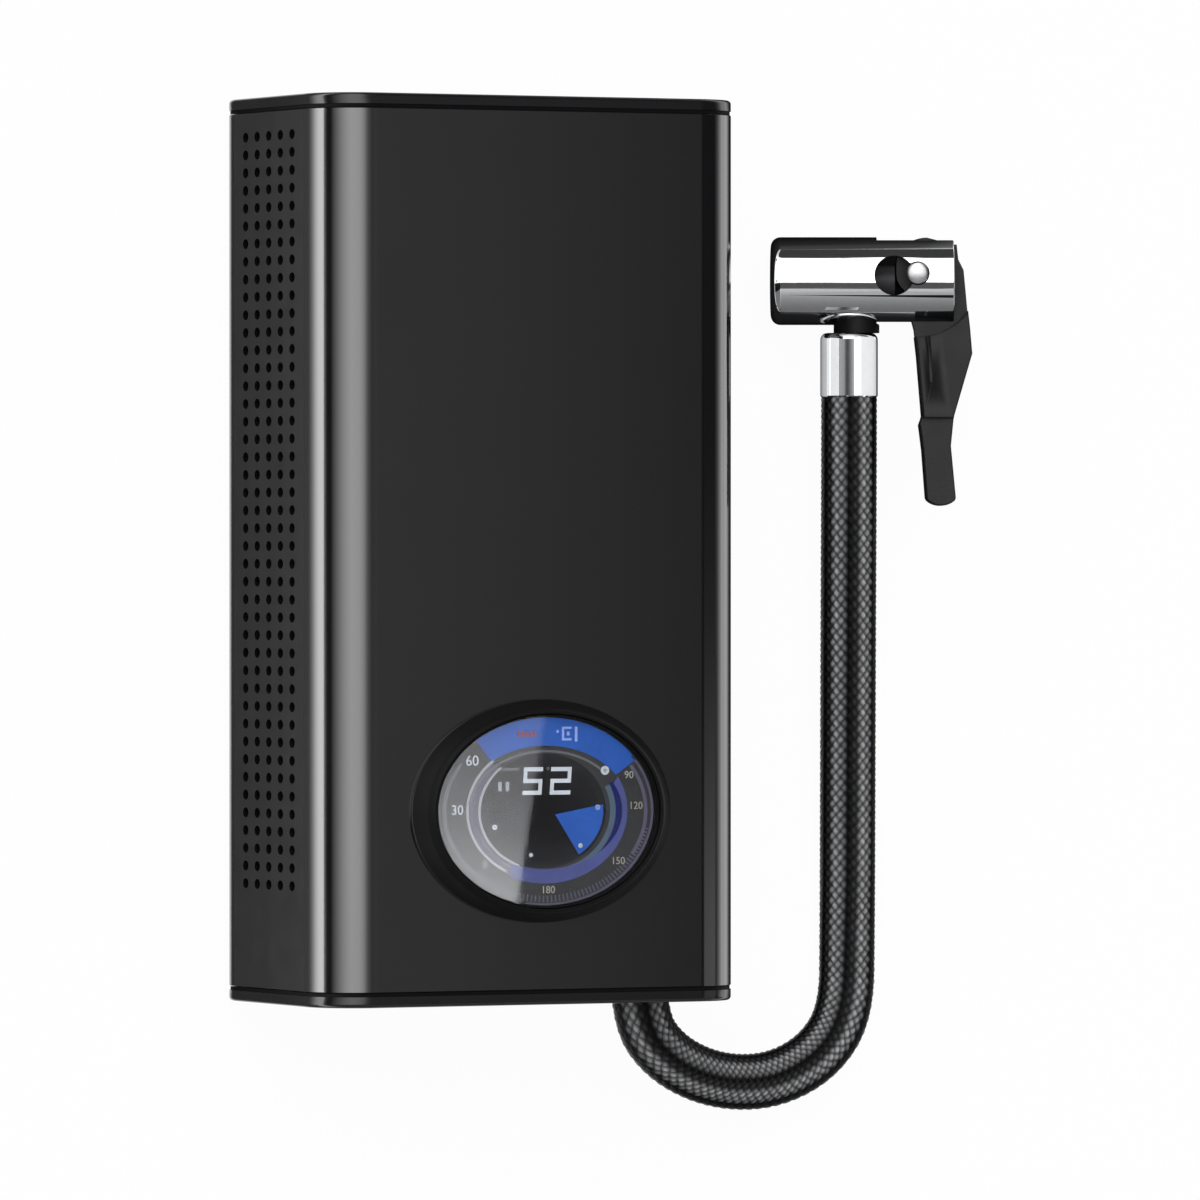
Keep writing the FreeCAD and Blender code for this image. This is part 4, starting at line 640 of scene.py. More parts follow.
def tick_tree(sizes, paint):
    """Small bars set out along an oval, each pointing outwards."""
    tree, given = socket_tree("scale_ticks", sizes)
    line = add_node(tree, "GeometryNodeMeshLine", {"Count": given["Count"]})
    turn = add_node(tree, "ShaderNodeMapRange", {
        "Value": add_node(tree, "GeometryNodeInputIndex"),
        "From Max": reckon(tree, "SUBTRACT", given["Count"], 1.0),
        "To Min": given["First angle"], "To Max": given["Last angle"]})
    way = add_node(tree, "ShaderNodeCombineXYZ", {
        "X": reckon(tree, "COSINE", turn), "Y": reckon(tree, "SINE", turn)})
    rim = add_node(tree, "ShaderNodeVectorMath", {0: way, 1: given["Reach"], 2: given["Centre"]},
                   operation="MULTIPLY_ADD")
    set_out = add_node(tree, "GeometryNodeSetPosition", {"Geometry": line, "Position": rim})
    bar = add_node(tree, "GeometryNodeMeshCube", {"Size": given["Tick size"]})
    aim = add_node(tree, "FunctionNodeAlignRotationToVector", {"Vector": way}, axis="X")
    bars = add_node(tree, "GeometryNodeInstanceOnPoints", {
        "Points": set_out, "Instance": bar, "Rotation": aim})
    return painted(tree, bars, paint)


scale_ticks = new_piece("scale_ticks", bmesh.new(), [])
grow(scale_ticks, tick_tree(ticks, dial_inks[ink_slots["rim"]]), ticks)
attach(scale_ticks, "inflator")


# The window, a moulded acrylic oval with a polished face, a broken edge and a thin foot that stands
# on the dial's rim. It is snapped into the bezel. A coat against glare halves what it reflects.

def clear_plastic(name, colour, rough, ior=1.49):
    """Clear acrylic that lets light fall through it, with the faint unevenness of a moulding."""
    paint = finish(name, colour, rough, 0.012, 0.03, 500.0, 60.0, relief=0.0000002, ior=ior)
    tree = paint.node_tree
    path = add_node(tree, "ShaderNodeLightPath")
    mixed = add_node(tree, "ShaderNodeMixShader", {
        "Fac": path.outputs["Is Shadow Ray"],
        1: feed(tree.nodes["Principled BSDF"], {"Transmission Weight": 1.0}),
        2: add_node(tree, "ShaderNodeBsdfTransparent")})
    feed(tree.nodes["Material Output"], {"Surface": mixed})
    return paint


window_clear = clear_plastic("window_clear", shade(244, 246, 248), 0.02, ior=1.32)
window_rings = (
    (22.25, 17.35, 53.4), (22.42, 17.52, 53.35), (22.50, 17.60, 53.2), (22.50, 17.60, 51.76),
    (21.95, 17.05, 51.76), (21.95, 17.05, 52.25),
)
wall_share = 0.95
window = ring_solid([oval(*ring) for ring in window_rings], capped=True)
for face in window.faces:
    if oval_share(face.calc_center_median(), 22.5, 17.6) > wall_share:
        face.material_index = 1
window_piece = new_piece("gauge_window", window, [window_clear, bezel_crown])
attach(window_piece, "inflator")
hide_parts("gauge_lens")


# The two end caps, moulded in black ABS with a polished face. Where a cap meets the casing it is
# filled out, to leave a shallow groove whose faces are painted near black and matte: painted shade
# for the shadow in the groove. The bottom cap holds the hose's gland, the top one the keys, the
# light and the socket.

corner_merge = 0.000002


def refined(name, node, paint, crease=28):
    """A copy of a CAD piece with its triangles joined and its round faces shaded as round."""
    shape = bmesh.new()
    shape.from_mesh(cad[node].data)
    bmesh.ops.remove_doubles(shape, verts=shape.verts, dist=corner_merge)
    return new_piece(name, shape, [paint], crease)


cap_gloss = finish("cap_gloss", shade(24, 24, 26), 0.12, 0.02, 0.08, 2400.0, 60.0,
                   relief=0.000002, ior=1.43)
groove_shade_paint = finish("groove_shade_paint", shade(8, 8, 9), 0.7, 0.05, 0.1, 2400.0, 60.0, relief=0.000004,
                  specular=0.1)
neck_rise = 0.00058
neck_y, neck_reach = (0.0798, 0.0806), (0.0090, 0.0094)
groove_shade_y = (0.0799, 0.0805)
corner_x, corner_z, body_middle = 0.03275, 0.015, 0.025
for name in ("top_cap", "bottom_cap"):
    cap = refined(name + "_moulding", name, cap_gloss)
    for vert in cap.data.vertices:
        height = vert.co.z - body_middle
        aside = Vector((math.copysign(max(abs(vert.co.x) - corner_x, 0), vert.co.x), 0,
                        math.copysign(max(abs(height) - corner_z, 0), height)))
        at_neck = neck_y[0] < abs(vert.co.y) < neck_y[1]
        if at_neck and neck_reach[0] < aside.length < neck_reach[1]:
            vert.co += neck_rise * aside.normalized()
    # Painted shade: the faces inside the groove take the near-black matte paint.
    cap.data.materials.append(groove_shade_paint)
    for face in cap.data.polygons:
        if groove_shade_y[0] < abs(face.center.y) < groove_shade_y[1] and abs(face.normal.y) < 0.5:
            face.material_index = 1
    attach(cap, "inflator")
    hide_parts(name)


# The caps' eight screws: countersunk, cross recessed, blackened steel, turned in by hand, so that
# no two recesses point the same way.

screw_sizes = {
    "Head radius": 0.0027,
    "Shank radius": 0.0012,
    "Head height": 0.0016,
    "Shank length": 0.0100,
    "Recess reach": 0.0030,
    "Recess width": 0.0006,
    "Recess depth": 0.0010,
}
head_sides, shank_sides, twist_seed = 40, 20, 7
screw_x, screw_y, screw_z = 0.03505, 0.0825, (0.0077, 0.0423)


def screw_tree(sizes, paint):
    """One screw, built head up, set on each point and pointed out of its cap."""
    tree, given = socket_tree("countersunk_screws", sizes)

    def set_at(made, height):
        """A geometry moved up to a height."""
        place = add_node(tree, "ShaderNodeCombineXYZ", {"Z": height})
        return add_node(tree, "GeometryNodeTransform", {"Geometry": made, "Translation": place})

    head = add_node(tree, "GeometryNodeMeshCone", {
        "Vertices": head_sides, "Depth": given["Head height"],
        "Radius Top": given["Head radius"], "Radius Bottom": given["Shank radius"]})
    bits = []
    for long_way, short_way in (("X", "Y"), ("Y", "X")):
        bit_size = add_node(tree, "ShaderNodeCombineXYZ", {
            long_way: given["Recess reach"], short_way: given["Recess width"],
            "Z": reckon(tree, "MULTIPLY", given["Recess depth"], 2.0)})
        bits.append(add_node(tree, "GeometryNodeMeshCube", {"Size": bit_size}))
    cut = add_node(tree, "GeometryNodeMeshBoolean", {
        "Mesh 1": set_at(head, reckon(tree, "MULTIPLY", given["Head height"], -1.0)),
        "Mesh 2": bits}, operation="DIFFERENCE", solver="MANIFOLD")
    shank = add_node(tree, "GeometryNodeMeshCylinder", {
        "Vertices": shank_sides, "Radius": given["Shank radius"], "Depth": given["Shank length"]})
    half_down = reckon(tree, "MULTIPLY", given["Shank length"], -0.5)
    below_head = reckon(tree, "SUBTRACT", half_down, given["Recess depth"])
    screw = add_node(tree, "GeometryNodeJoinGeometry", {
        "Geometry": [cut, set_at(shank, below_head)]})
    place = add_node(tree, "GeometryNodeInputPosition")
    axes = add_node(tree, "ShaderNodeSeparateXYZ", {0: place})
    outwards = add_node(tree, "ShaderNodeCombineXYZ", {"Y": axes.outputs["Y"]})
    aim = add_node(tree, "FunctionNodeAlignRotationToVector", {"Vector": outwards}, axis="Z")
    set_on = add_node(tree, "GeometryNodeInstanceOnPoints", {
        "Points": given["Geometry"], "Instance": screw, "Rotation": aim})
    chance = add_node(tree, "FunctionNodeRandomValue", {"Seed": twist_seed}, data_type="FLOAT")
    most = next(s for s in chance.inputs if s.name == "Max" and s.type == "VALUE")
    most.default_value = math.pi / 2
    turned = next(s for s in chance.outputs if s.type == "VALUE")
    spin = add_node(tree, "ShaderNodeCombineXYZ", {"Z": turned})
    twist = add_node(tree, "GeometryNodeRotateInstances", {"Instances": set_on, "Rotation": spin})
    return painted(tree, twist, paint)


screw_points = bmesh.new()
for y in (-screw_y, screw_y):
    for x in (-screw_x, screw_x):
        for z in screw_z:
            screw_points.verts.new((x, y, z))
cap_screws = new_piece("cap_screw_set", screw_points, [])
grow(cap_screws, screw_tree(screw_sizes, screw_steel), screw_sizes)
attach(cap_screws, "inflator")
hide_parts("cap_screws")


# The four keys: turned-looking black mouldings with a shallow dish, each on its own stem behind a
# flange that the cap holds back, with a plain white mark in the dish.

key_paint = finish("key_black", shade(26, 26, 28), 0.38, 0.05, 0.1, 3000.0, 120.0,
                   relief=0.000006)
key_mark = finish("key_mark", shade(206, 208, 210), 0.5, 0.05, 0.06, 2600.0, 200.0,
                  relief=0.000003)
key_row_z = 0.032
key_top_y = 0.0825
key_dish = 0.00022
key_steps = 64
stroke = 0.00025
level_bar, upright_bar = (-0.0015, -stroke, 0.0015, stroke), (-stroke, -0.0015, stroke, 0.0015)
keys = (
    ("power", "power_button", "power_key", -0.026, 0.0052,
     [(-stroke, 0.0006, stroke, 0.0025)], [(0.0019, 0.0005, 125, 415, 29)]),
    ("mode", "mode_button", "mode_key", -0.013, 0.0040,
     [(-stroke, -stroke, stroke, stroke)], [(0.0014, 0.00045, 0, 359.9, 35)]),
    ("minus", "minus_button", "minus_key", 0.0, 0.0040, [level_bar], []),
    ("plus", "plus_button", "plus_key", 0.013, 0.0040, [level_bar, upright_bar], []),
)
mark_low, mark_high = key_top_y - 0.0004, key_top_y - 0.00006


def turned_solid(profile, axis_point, axis, steps):
    """A solid of revolution from a closed run of (distance along the axis, radius)."""
    shape = bmesh.new()
    turn = Vector((0, 0, 1)).rotation_difference(Vector(axis)).to_matrix().to_4x4()
    place = Matrix.Translation(axis_point) @ turn
    rows = []
    for along, radius in profile:
        if radius == 0:
            rows.append([shape.verts.new(place @ Vector((0, 0, along)))] * steps)
            continue
        ring = [(radius * math.cos(math.tau * s / steps), radius * math.sin(math.tau * s / steps))
                for s in range(steps)]
        rows.append([shape.verts.new(place @ Vector((x, y, along))) for x, y in ring])
    join_rows(shape, rows)
    bmesh.ops.recalc_face_normals(shape, faces=shape.faces)
    return shape


for label, node, body, middle_x, radius, bars, arcs in keys:
    profile = [
        (-0.0058, 0.0), (-0.0058, 0.0012), (-0.0039, 0.0012), (-0.0039, radius + 0.0010),
        (-0.0028, radius + 0.0010), (-0.0028, radius), (-0.0006, radius),
        (-0.0003, radius - 0.00008), (-0.00008, radius - 0.0003), (0.0, radius - 0.0006),
        (-0.00006, radius - 0.0010), (-key_dish * 0.75, radius * 0.5), (-key_dish, 0.0),
    ]
    shape = turned_solid(profile, (middle_x, key_top_y, key_row_z), (0, 1, 0), key_steps)
    marks = [([(x0, z0), (x1, z0)], [(x0, z1), (x1, z1)]) for x0, z0, x1, z1 in bars]
    for reach, width, *span in arcs:
        marks.append([arc_points(r, r, *span) for r in (reach - width / 2, reach + width / 2)])
    for inner, outer in marks:
        ink_patch(shape, 1, [
            [(middle_x + x, y, key_row_z + z) for x, z in row] for row, y in
            ((inner, mark_low), (outer, mark_low), (outer, mark_high), (inner, mark_high))])
    key = new_piece(label + "_key_cap", shape, [key_paint, key_mark])
    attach(key, body)
    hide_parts(node)


# The work light: a vacuum-metallised cup, a yellow chip, and a clear disc with a fine ripple. All
# three are pressed into the top cap.

reflector_silver = finish("reflector_silver", shade(222, 223, 226), 0.12, 0.04, 0.05, 1400.0,
                          300.0, relief=0.000004, metallic=1.0)
chip_yellow = finish("light_yellow", shade(228, 196, 74), 0.5, 0.06, 0.1, 3000.0, 400.0,
                     relief=0.000004)
dress(chip_yellow, "torch_light")
cup = refined("torch_cup", "torch_reflector", reflector_silver)
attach(cup, "inflator")
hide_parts("torch_reflector")
torch_clear = clear_plastic("torch_clear", shade(240, 243, 246), 0.05)
disc_profile = [(-0.0021, 0.0), (-0.0021, 0.0051), (-0.0002, 0.0051), (0.0, 0.0049),
                (-0.00005, 0.0038), (0.0, 0.0026), (-0.00005, 0.0013), (0.0, 0.0)]
disc = turned_solid(disc_profile, (0.029, 0.0822, 0.032), (0, 1, 0), 64)
torch_disc = new_piece("torch_disc", disc, [torch_clear])
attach(torch_disc, "inflator")
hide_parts("torch_lens")


# The chuck, turned from brass and chromed: a round barrel with the valve's mouth at one end, a fork
# for the lever at the other, and a round window over the slide, drilled here a little larger than
# the CAD barrel's. The seal and the slide sit inside.

chuck_place = Vector((0.08275, 0.05055, 0.013352))
chuck_roll = math.radians(26.0)
chuck_u = Vector((math.cos(chuck_roll), 0, math.sin(chuck_roll)))
chuck_v = Vector((0, 1, 0))
chuck_w = Vector((-math.sin(chuck_roll), 0, math.cos(chuck_roll)))


def standing(right, up, out, place):
    """The matrix of a thing at a place, whose X, Y and Z point right, up and out."""
    return Matrix((
        (right.x, up.x, out.x, place.x),
        (right.y, up.y, out.y, place.y),
        (right.z, up.z, out.z, place.z),
        (0, 0, 0, 1),
    ))


chuck_frame = standing(chuck_u, chuck_v, chuck_w, chuck_place)
chuck_frame_back = chuck_frame.inverted()


def cut_away(piece, cutter):
    """Takes a cutter's shape out of a piece and does away with the cutter."""
    cut = piece.modifiers.new("cut", "BOOLEAN")
    cut.operation = "DIFFERENCE"
    cut.solver = "EXACT"
    cut.object = cutter
    plain(piece)
    bpy.data.objects.remove(cutter)


chrome = finish("chrome", shade(206, 207, 209), 0.06, 0.02, 0.03, 900.0, 90.0, relief=0.0000008,
                metallic=1.0)
# The chrome's edge tint is dark grey, so it reflects less at a glancing angle: a painted darkening
# of the outlines of the barrel and the ferrule.
feed(chrome.node_tree.nodes["Principled BSDF"], {"Specular Tint": (0.3, 0.3, 0.31, 1)})
bore_painted_shade = finish("bore_painted_shade", shade(9, 9, 10), 0.6, 0.05, 0.1, 1400.0, 200.0, relief=0.000003,
                   specular=0.15)
# The slide is painted dark grey and matte: painted shade for where it sits inside the barrel.
slide_painted_shade = finish("slide_painted_shade", shade(56, 56, 58), 0.5, 0.06, 0.12, 1400.0, 200.0,
                     relief=0.000003, specular=0.2)
dress(pad_rubber, "valve_seal")
window_u, window_v, window_radius, fork_half = 0.0082, 0.0009, 0.00373, 0.00320
drill_length = 0.006
bore_reach = 0.0080
blank = refined("barrel_blank", "chuck_body", chrome)
drill = turned_solid([(0, 0), (0, window_radius), (drill_length, window_radius), (drill_length, 0)],
                     chuck_frame @ Vector((window_u, window_v, fork_half)), chuck_w, 96)
cut_away(blank, new_piece("window_drill", drill, [chrome]))
barrel_shape = bmesh.new()
barrel_shape.from_mesh(blank.data)
bmesh.ops.remove_doubles(barrel_shape, verts=barrel_shape.verts, dist=corner_merge)
bpy.data.objects.remove(blank)
barrel = new_piece("chuck_barrel", barrel_shape, [chrome, bore_painted_shade], crease=28)
# Painted shade: the bore, the fork's inner walls and the rim of the drilled window take a
# near-black matte paint in place of chrome.
for face in barrel.data.polygons:
    middle = chuck_frame_back @ face.center
    from_window = math.hypot(middle.x - window_u, middle.y - window_v) - window_radius
    in_window = abs(from_window) < 0.0001 and middle.z > 0
    in_bore = math.hypot(middle.y, middle.z) < bore_reach and abs(face.normal.dot(chuck_u)) < 0.5
    if in_bore or in_window:
        face.material_index = 1
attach(barrel, "inflator")
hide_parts("chuck_body")
slide = refined("chuck_slide", "chuck_plunger", slide_painted_shade)
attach(slide, "plunger")
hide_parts("chuck_plunger")


# The pivot pin, a nickel-plated rivet with a domed head, pressed across the fork. The lever turns
# on it between the fork's two walls.

pin_profile = [(0, 0), (0, 0.00135), (0.00015, 0.0015), (0.01442, 0.0015), (0.01442, 0.00206),
               (0.01447, 0.0021), (0.0158, 0.0021), (0.01594, 0.00204), (0.01606, 0.00188),
               (0.01616, 0.0015), (0.01623, 0.00105), (0.01628, 0.00055), (0.0163, 0)]
pin_foot = chuck_frame @ Vector((0.0126, 0.0013, -0.00785))
pin_nickel = finish("pin_nickel", shade(172, 172, 174), 0.34, 0.03, 0.05, 900.0, 90.0,
                    relief=0.0000008, metallic=1.0)
pin = new_piece("pivot_pin_rivet", turned_solid(pin_profile, pin_foot, chuck_w, 64), [pin_nickel])
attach(pin, "inflator")
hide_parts("pivot_pin")


# The lever, glass-filled nylon: a cam and tongue in the fork, a wide thumb plate with broad
# chamfers along its rim and a fine groove in each side, and a narrower grip below a step.

lever_chamfer = 0.0011
plate_half, grip_half = 0.0062, 0.005
groove_depth = 0.0003
groove_outline = ((0.0142, -0.0090), (0.0147, -0.0090), (0.0155, -0.0190), (0.0150, -0.0190))
lever_paint = finish("lever_black", shade(25, 25, 26), 0.42, 0.06, 0.16, 1700.0, 260.0,
                     relief=0.00002, specular=0.22)
lever_shape = bmesh.new()
lever_shape.from_mesh(cad["chuck_lever"].data)
bmesh.ops.remove_doubles(lever_shape, verts=lever_shape.verts, dist=corner_merge)
bmesh.ops.dissolve_limit(lever_shape, angle_limit=math.radians(0.6), verts=lever_shape.verts,
                         edges=lever_shape.edges)
rim = []
for edge in lever_shape.edges:
    widths = [abs((chuck_frame_back @ vert.co).z) for vert in edge.verts]
    flat = abs(widths[0] - widths[1]) < 0.00001
    on_side = any(abs(widths[0] - half) < 0.00002 for half in (plate_half, grip_half))
    if flat and on_side and len(edge.link_faces) == 2 and edge.calc_face_angle() > 0.7:
        rim.append(edge)
bmesh.ops.bevel(lever_shape, geom=rim, offset=lever_chamfer, segments=1, profile=0.5,
                affect="EDGES", clamp_overlap=True)
lever = new_piece("thumb_lever", lever_shape, [lever_paint], crease=24)
groove_cutter = bmesh.new()
for side in (plate_half, -plate_half):
    rows = [[groove_cutter.verts.new(chuck_frame @ Vector((u, v, w))) for u, v in groove_outline]
            for w in (side - groove_depth, side + groove_depth)]
    join_rows(groove_cutter, rows)
    for row in rows:
        groove_cutter.faces.new(row)
bmesh.ops.recalc_face_normals(groove_cutter, faces=groove_cutter.faces)
cut_away(lever, new_piece("groove_cutter", groove_cutter, [lever_paint]))
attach(lever, "lever")
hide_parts("chuck_lever")


# The black collar that seals the chuck on its stem, and the chromed ferrule that is crimped over
# the hose's end, with a rolled shoulder.

collar_rubber = finish("collar_rubber", shade(14, 14, 15), 0.5, 0.05, 0.12, 1700.0, 260.0,
                       specular=0.15)
collar = refined("hose_collar_ring", "hose_collar", collar_rubber)
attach(collar, "inflator")
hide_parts("hose_collar")
ferrule_radius = 0.0054
ferrule_length = 0.012
ferrule_round = 0.0013
ferrule_profile = [(0, 0), (0, ferrule_radius - 0.0002), (0.0002, ferrule_radius),
                   (0.005, ferrule_radius)]
for step in range(13):
    turn = math.radians(90 * step / 12)
    ferrule_profile.append((ferrule_length - ferrule_round + ferrule_round * math.sin(turn),
                            ferrule_radius - ferrule_round + ferrule_round * math.cos(turn)))
ferrule_profile.append((ferrule_length, 0))
ferrule_foot = chuck_place + Vector((0, -0.02175, 0))
ferrule = new_piece("hose_ferrule_sleeve",
                    turned_solid(ferrule_profile, ferrule_foot, (0, 1, 0), 96), [chrome])
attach(ferrule, "inflator")
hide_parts("hose_ferrule")


# The hose: rubber under a braid of black nylon yarn, 18 ends each way, laid over and under. It
# comes out of the bottom cap, turns on the table and comes back up beside the casing. The grey
# lanes in the yarn are painted highlight, set on the side that faces the camera.

hose_radius = 0.00505
yarn_height = 0.00024
yarn_ends = 18
yarn_pitch = 0.00205
hose_rings = yarn_pitch / 7
hose_sides = 144
lane_shift = math.radians(2.0)
lane_twist = math.radians(10.0)
lane_width = 5.0
lane_start = 40.0
leg_start, leg_blend = 0.055, 0.045
lane_highlights = (0.38, 0.92, 1.0, 0.75, 0.65, 0.58, 0.22, 0.0, 0.0, 0.04, 0.08, 0.08)
hose_route = (
    (0.0330, -0.0765, 0.0240), (0.0330, -0.0865, 0.0240), (0.0406, -0.0943, 0.020503),
    (0.0542, -0.0992, 0.013993), (0.0690, -0.0998, 0.008209), (0.0806, -0.0953, 0.0054),
    (0.0864, -0.0870, 0.0054), (0.0866, -0.0716, 0.0054), (0.0857, -0.0433, 0.007301),
    (0.0837, -0.0093, 0.011300), (0.08275, 0.0151, 0.013352), (0.08275, 0.0288, 0.013352),
)
hose_line = bpy.data.curves.new("hose_line", "CURVE")
hose_line.dimensions = "3D"
hose_line.resolution_u = 120
run = hose_line.splines.new("NURBS")
run.points.add(len(hose_route) - 1)
for control, place in zip(run.points, hose_route):
    control.co = (*place, 1)
run.order_u = 3
run.use_endpoint_u = True
carrier = bpy.data.objects.new("hose_line", hose_line)
bpy.context.scene.collection.objects.link(carrier)
graph = bpy.context.evaluated_depsgraph_get()
traced = bpy.data.meshes.new_from_object(carrier.evaluated_get(graph))
bpy.data.objects.remove(carrier)
line_points = np.array([vert.co for vert in traced.vertices], float)
gone = np.concatenate(([0.0], np.cumsum(np.linalg.norm(np.diff(line_points, axis=0), axis=1))))
hose_length = gone[-1]
stations = np.linspace(0.0, hose_length, int(hose_length / hose_rings))
centres = np.stack([np.interp(stations, gone, line_points[:, axis]) for axis in range(3)], axis=1)
ahead = np.gradient(centres, axis=0)
ahead /= np.linalg.norm(ahead, axis=1)[:, None]
facing = np.array((-math.sin(chuck_roll), 0.0, math.cos(chuck_roll)))
outward = facing - ahead * (ahead @ facing)[:, None]
outward /= np.linalg.norm(outward, axis=1)[:, None]
sideways = np.cross(ahead, outward)
angles = np.linspace(0.0, math.tau, hose_sides, endpoint=False)
on_leg = np.clip((stations - leg_start) / leg_blend, 0.0, 1.0)
laid = angles[None, :] + (lane_twist * (1.0 - on_leg) - lane_shift)[:, None]
around = yarn_ends * laid / math.tau
along = stations[:, None] / yarn_pitch
right_lay = around + along
left_lay = around - along
right_over = (np.floor(right_lay) + np.floor(left_lay)) % 2 == 0
right_round = np.cos(math.pi * (right_lay % 1.0 - 0.5))
left_round = np.cos(math.pi * (left_lay % 1.0 - 0.5))
over = np.where(right_over, right_round, left_round)
under = np.where(right_over, left_round, right_round)
crown = np.sqrt(np.clip(over, 0, 1)) * (0.62 + 0.38 * under)
reach = hose_radius - yarn_height + 2 * yarn_height * crown
rim_x = np.cos(angles)[None, :, None] * outward[:, None, :]
rim_y = np.sin(angles)[None, :, None] * sideways[:, None, :]
skin = centres[:, None, :] + reach[:, :, None] * (rim_x + rim_y)
# Painted highlight: light lanes set round from the side facing the camera, lightest on the crown of
# each strand.
tone_places = (np.degrees(laid) + lane_start) / lane_width % len(lane_highlights)
tone = np.interp(tone_places, range(len(lane_highlights) + 1), lane_highlights + lane_highlights[:1])
bright = np.clip(tone * (0.1 + 1.1 * crown ** 3), 0, 1)
rows, sides = skin.shape[:2]
verts = [tuple(p) for p in skin.reshape(-1, 3)] + [tuple(centres[0]), tuple(centres[-1])]
first_end, last_end, last_row = rows * sides, rows * sides + 1, (rows - 1) * sides
faces = []
for side in range(sides):
    beside = (side + 1) % sides
    for row in range(0, last_row, sides):
        faces.append((row + side, row + beside, row + sides + beside, row + sides + side))
    faces.append((beside, side, first_end))
    faces.append((last_end, last_row + side, last_row + beside))
hose_mesh = bpy.data.meshes.new("braided_hose")
hose_mesh.from_pydata(verts, [], faces)
hose_mesh.update()
yarn_highlight = hose_mesh.attributes.new("yarn_highlight", "FLOAT", "POINT")
yarn_highlight.data.foreach_set("value", np.append(bright.ravel(), (0.1, 0.1)).astype(np.float32))
hose_shape = bmesh.new()
hose_shape.from_mesh(hose_mesh)
bmesh.ops.recalc_face_normals(hose_shape, faces=hose_shape.faces)
for face in hose_shape.faces:
    face.smooth = True
hose_shape.to_mesh(hose_mesh)
hose_shape.free()
hose = bpy.data.objects.new("braided_hose", hose_mesh)
bpy.context.scene.collection.objects.link(hose)
# hose_yarn's light colour is the painted highlight. It is mixed with near-black yarn by the painted
# highlight attribute.
yarn = finish("hose_yarn", shade(172, 173, 175), 0.5, 0.08, 0.2, 2600.0, 400.0, relief=0.00003,
              specular=0.08)
yarn_nodes = yarn.node_tree.nodes
strand = add_node(yarn.node_tree, "ShaderNodeAttribute", attribute_name="yarn_highlight")
highlighted_yarn = add_node(yarn.node_tree, "ShaderNodeMix", {
    "A": (*shade(5, 5, 6), 1), "B": yarn_nodes["skin"], "Factor": strand.outputs["Fac"]},
    data_type="RGBA")
feed(yarn_nodes["Principled BSDF"], {"Base Color": highlighted_yarn.outputs["Result"]})
hose_mesh.materials.append(yarn)
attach(hose, "inflator")
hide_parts("hose_tube")


# The table: a wide white sheet, level under the inflator. A white screen stands far behind it all
# round, for views from low down, and is left out of the reflections.

def plain_white():
    """White card that shows as the background, but keeps the inflator's shadow."""
    shadow_share = 0.04
    paint = bpy.data.materials.new("table_white")
    paint.use_nodes = True
    tree = paint.node_tree
    card = feed(tree.nodes["Principled BSDF"], {
        "Base Color": (0.95, 0.95, 0.95, 1), "Roughness": 0.9, "Specular IOR Level": 0.0})
    ray = add_node(tree, "ShaderNodeLightPath").outputs
    seen = reckon(tree, "MAXIMUM", ray["Is Camera Ray"], ray["Is Glossy Ray"])
    seen = reckon(tree, "MAXIMUM", seen, ray["Is Transmission Ray"])
    share = reckon(tree, "MULTIPLY", seen, 1 - shadow_share)
    lit = add_node(tree, "ShaderNodeEmission")
    mixed = add_node(tree, "ShaderNodeMixShader", {"Fac": share, 1: card, 2: lit})
    feed(tree.nodes["Material Output"], {"Surface": mixed})
    return paint


table_paint = plain_white()
sheet_steps = 96
sheet_rows = ((0.6, 0.0), (3.0, 0.0), (4.5, 0.04), (6.0, 0.18), (7.5, 0.5), (8.5, 1.0))
for name, rows, reflected in (("table", sheet_rows[:2], True), ("screen", sheet_rows[1:], False)):
    sheet = bmesh.new()
    rings = [[sheet.verts.new((*point, height))
              for point in arc_points(radius, radius, 0, 360, sheet_steps)[:-1]]
             for radius, height in rows]
    if name == "table":
        sheet.faces.new(rings[0])
    join_rows(sheet, rings[::-1])
    placed = new_piece(name, sheet, [table_paint])
    placed.visible_glossy = reflected


# The studio's light comes from all round: a broad soft box on the camera's side of the inflator, a
# strip low on the right, dim walls between them and a dim end by the hose's bend. Beside the
# inflator stand three cards that only show in reflections: left_card, right_card and right_board.

view_tilt = math.radians(26.0)
towards_camera = Vector((-math.sin(view_tilt), 0, math.cos(view_tilt)))
picture_right = Vector((math.cos(view_tilt), 0, math.sin(view_tilt)))
wall_peak = 4.0
walls = (
    (-180, 0.15), (-128, 0.3), (-120, 2.0), (-112, 2.4), (-104, 1.3), (-96, 0.35), (-88, 0.06),
    (-76, 0.02), (-60, 0.02), (-54.2, 0.03), (-53.2, 0.10), (-52.4, 0.22), (-51.9, 0.37),
    (-51.3, 0.36), (-47, 0.33), (-38, 0.28), (-29.5, 0.8), (-21, 2.45), (-12.7, 3.3),
    (3.9, 3.6), (12.2, 3.2), (20.6, 2.6), (29, 1.8), (37.8, 0.95), (44, 0.4), (47, 0.08),
    (49, 0.02), (58, 0.02), (63.5, 1.2), (66, 0.6), (80, 0.15), (180, 0.15),
)
wall_edges = ((-5.5, -3.5), (63.5, 60.5))
ends = (
    (-1.0, 0.22), (-0.927, 0.28), (-0.766, 0.40), (-0.656, 0.48), (-0.545, 0.62), (-0.40, 0.82),
    (-0.372, 0.82), (-0.352, 0.13), (-0.10, 0.12), (-0.06, 0.0), (0.87, 0.0), (0.9, 0.065),
    (1.0, 0.065),
)


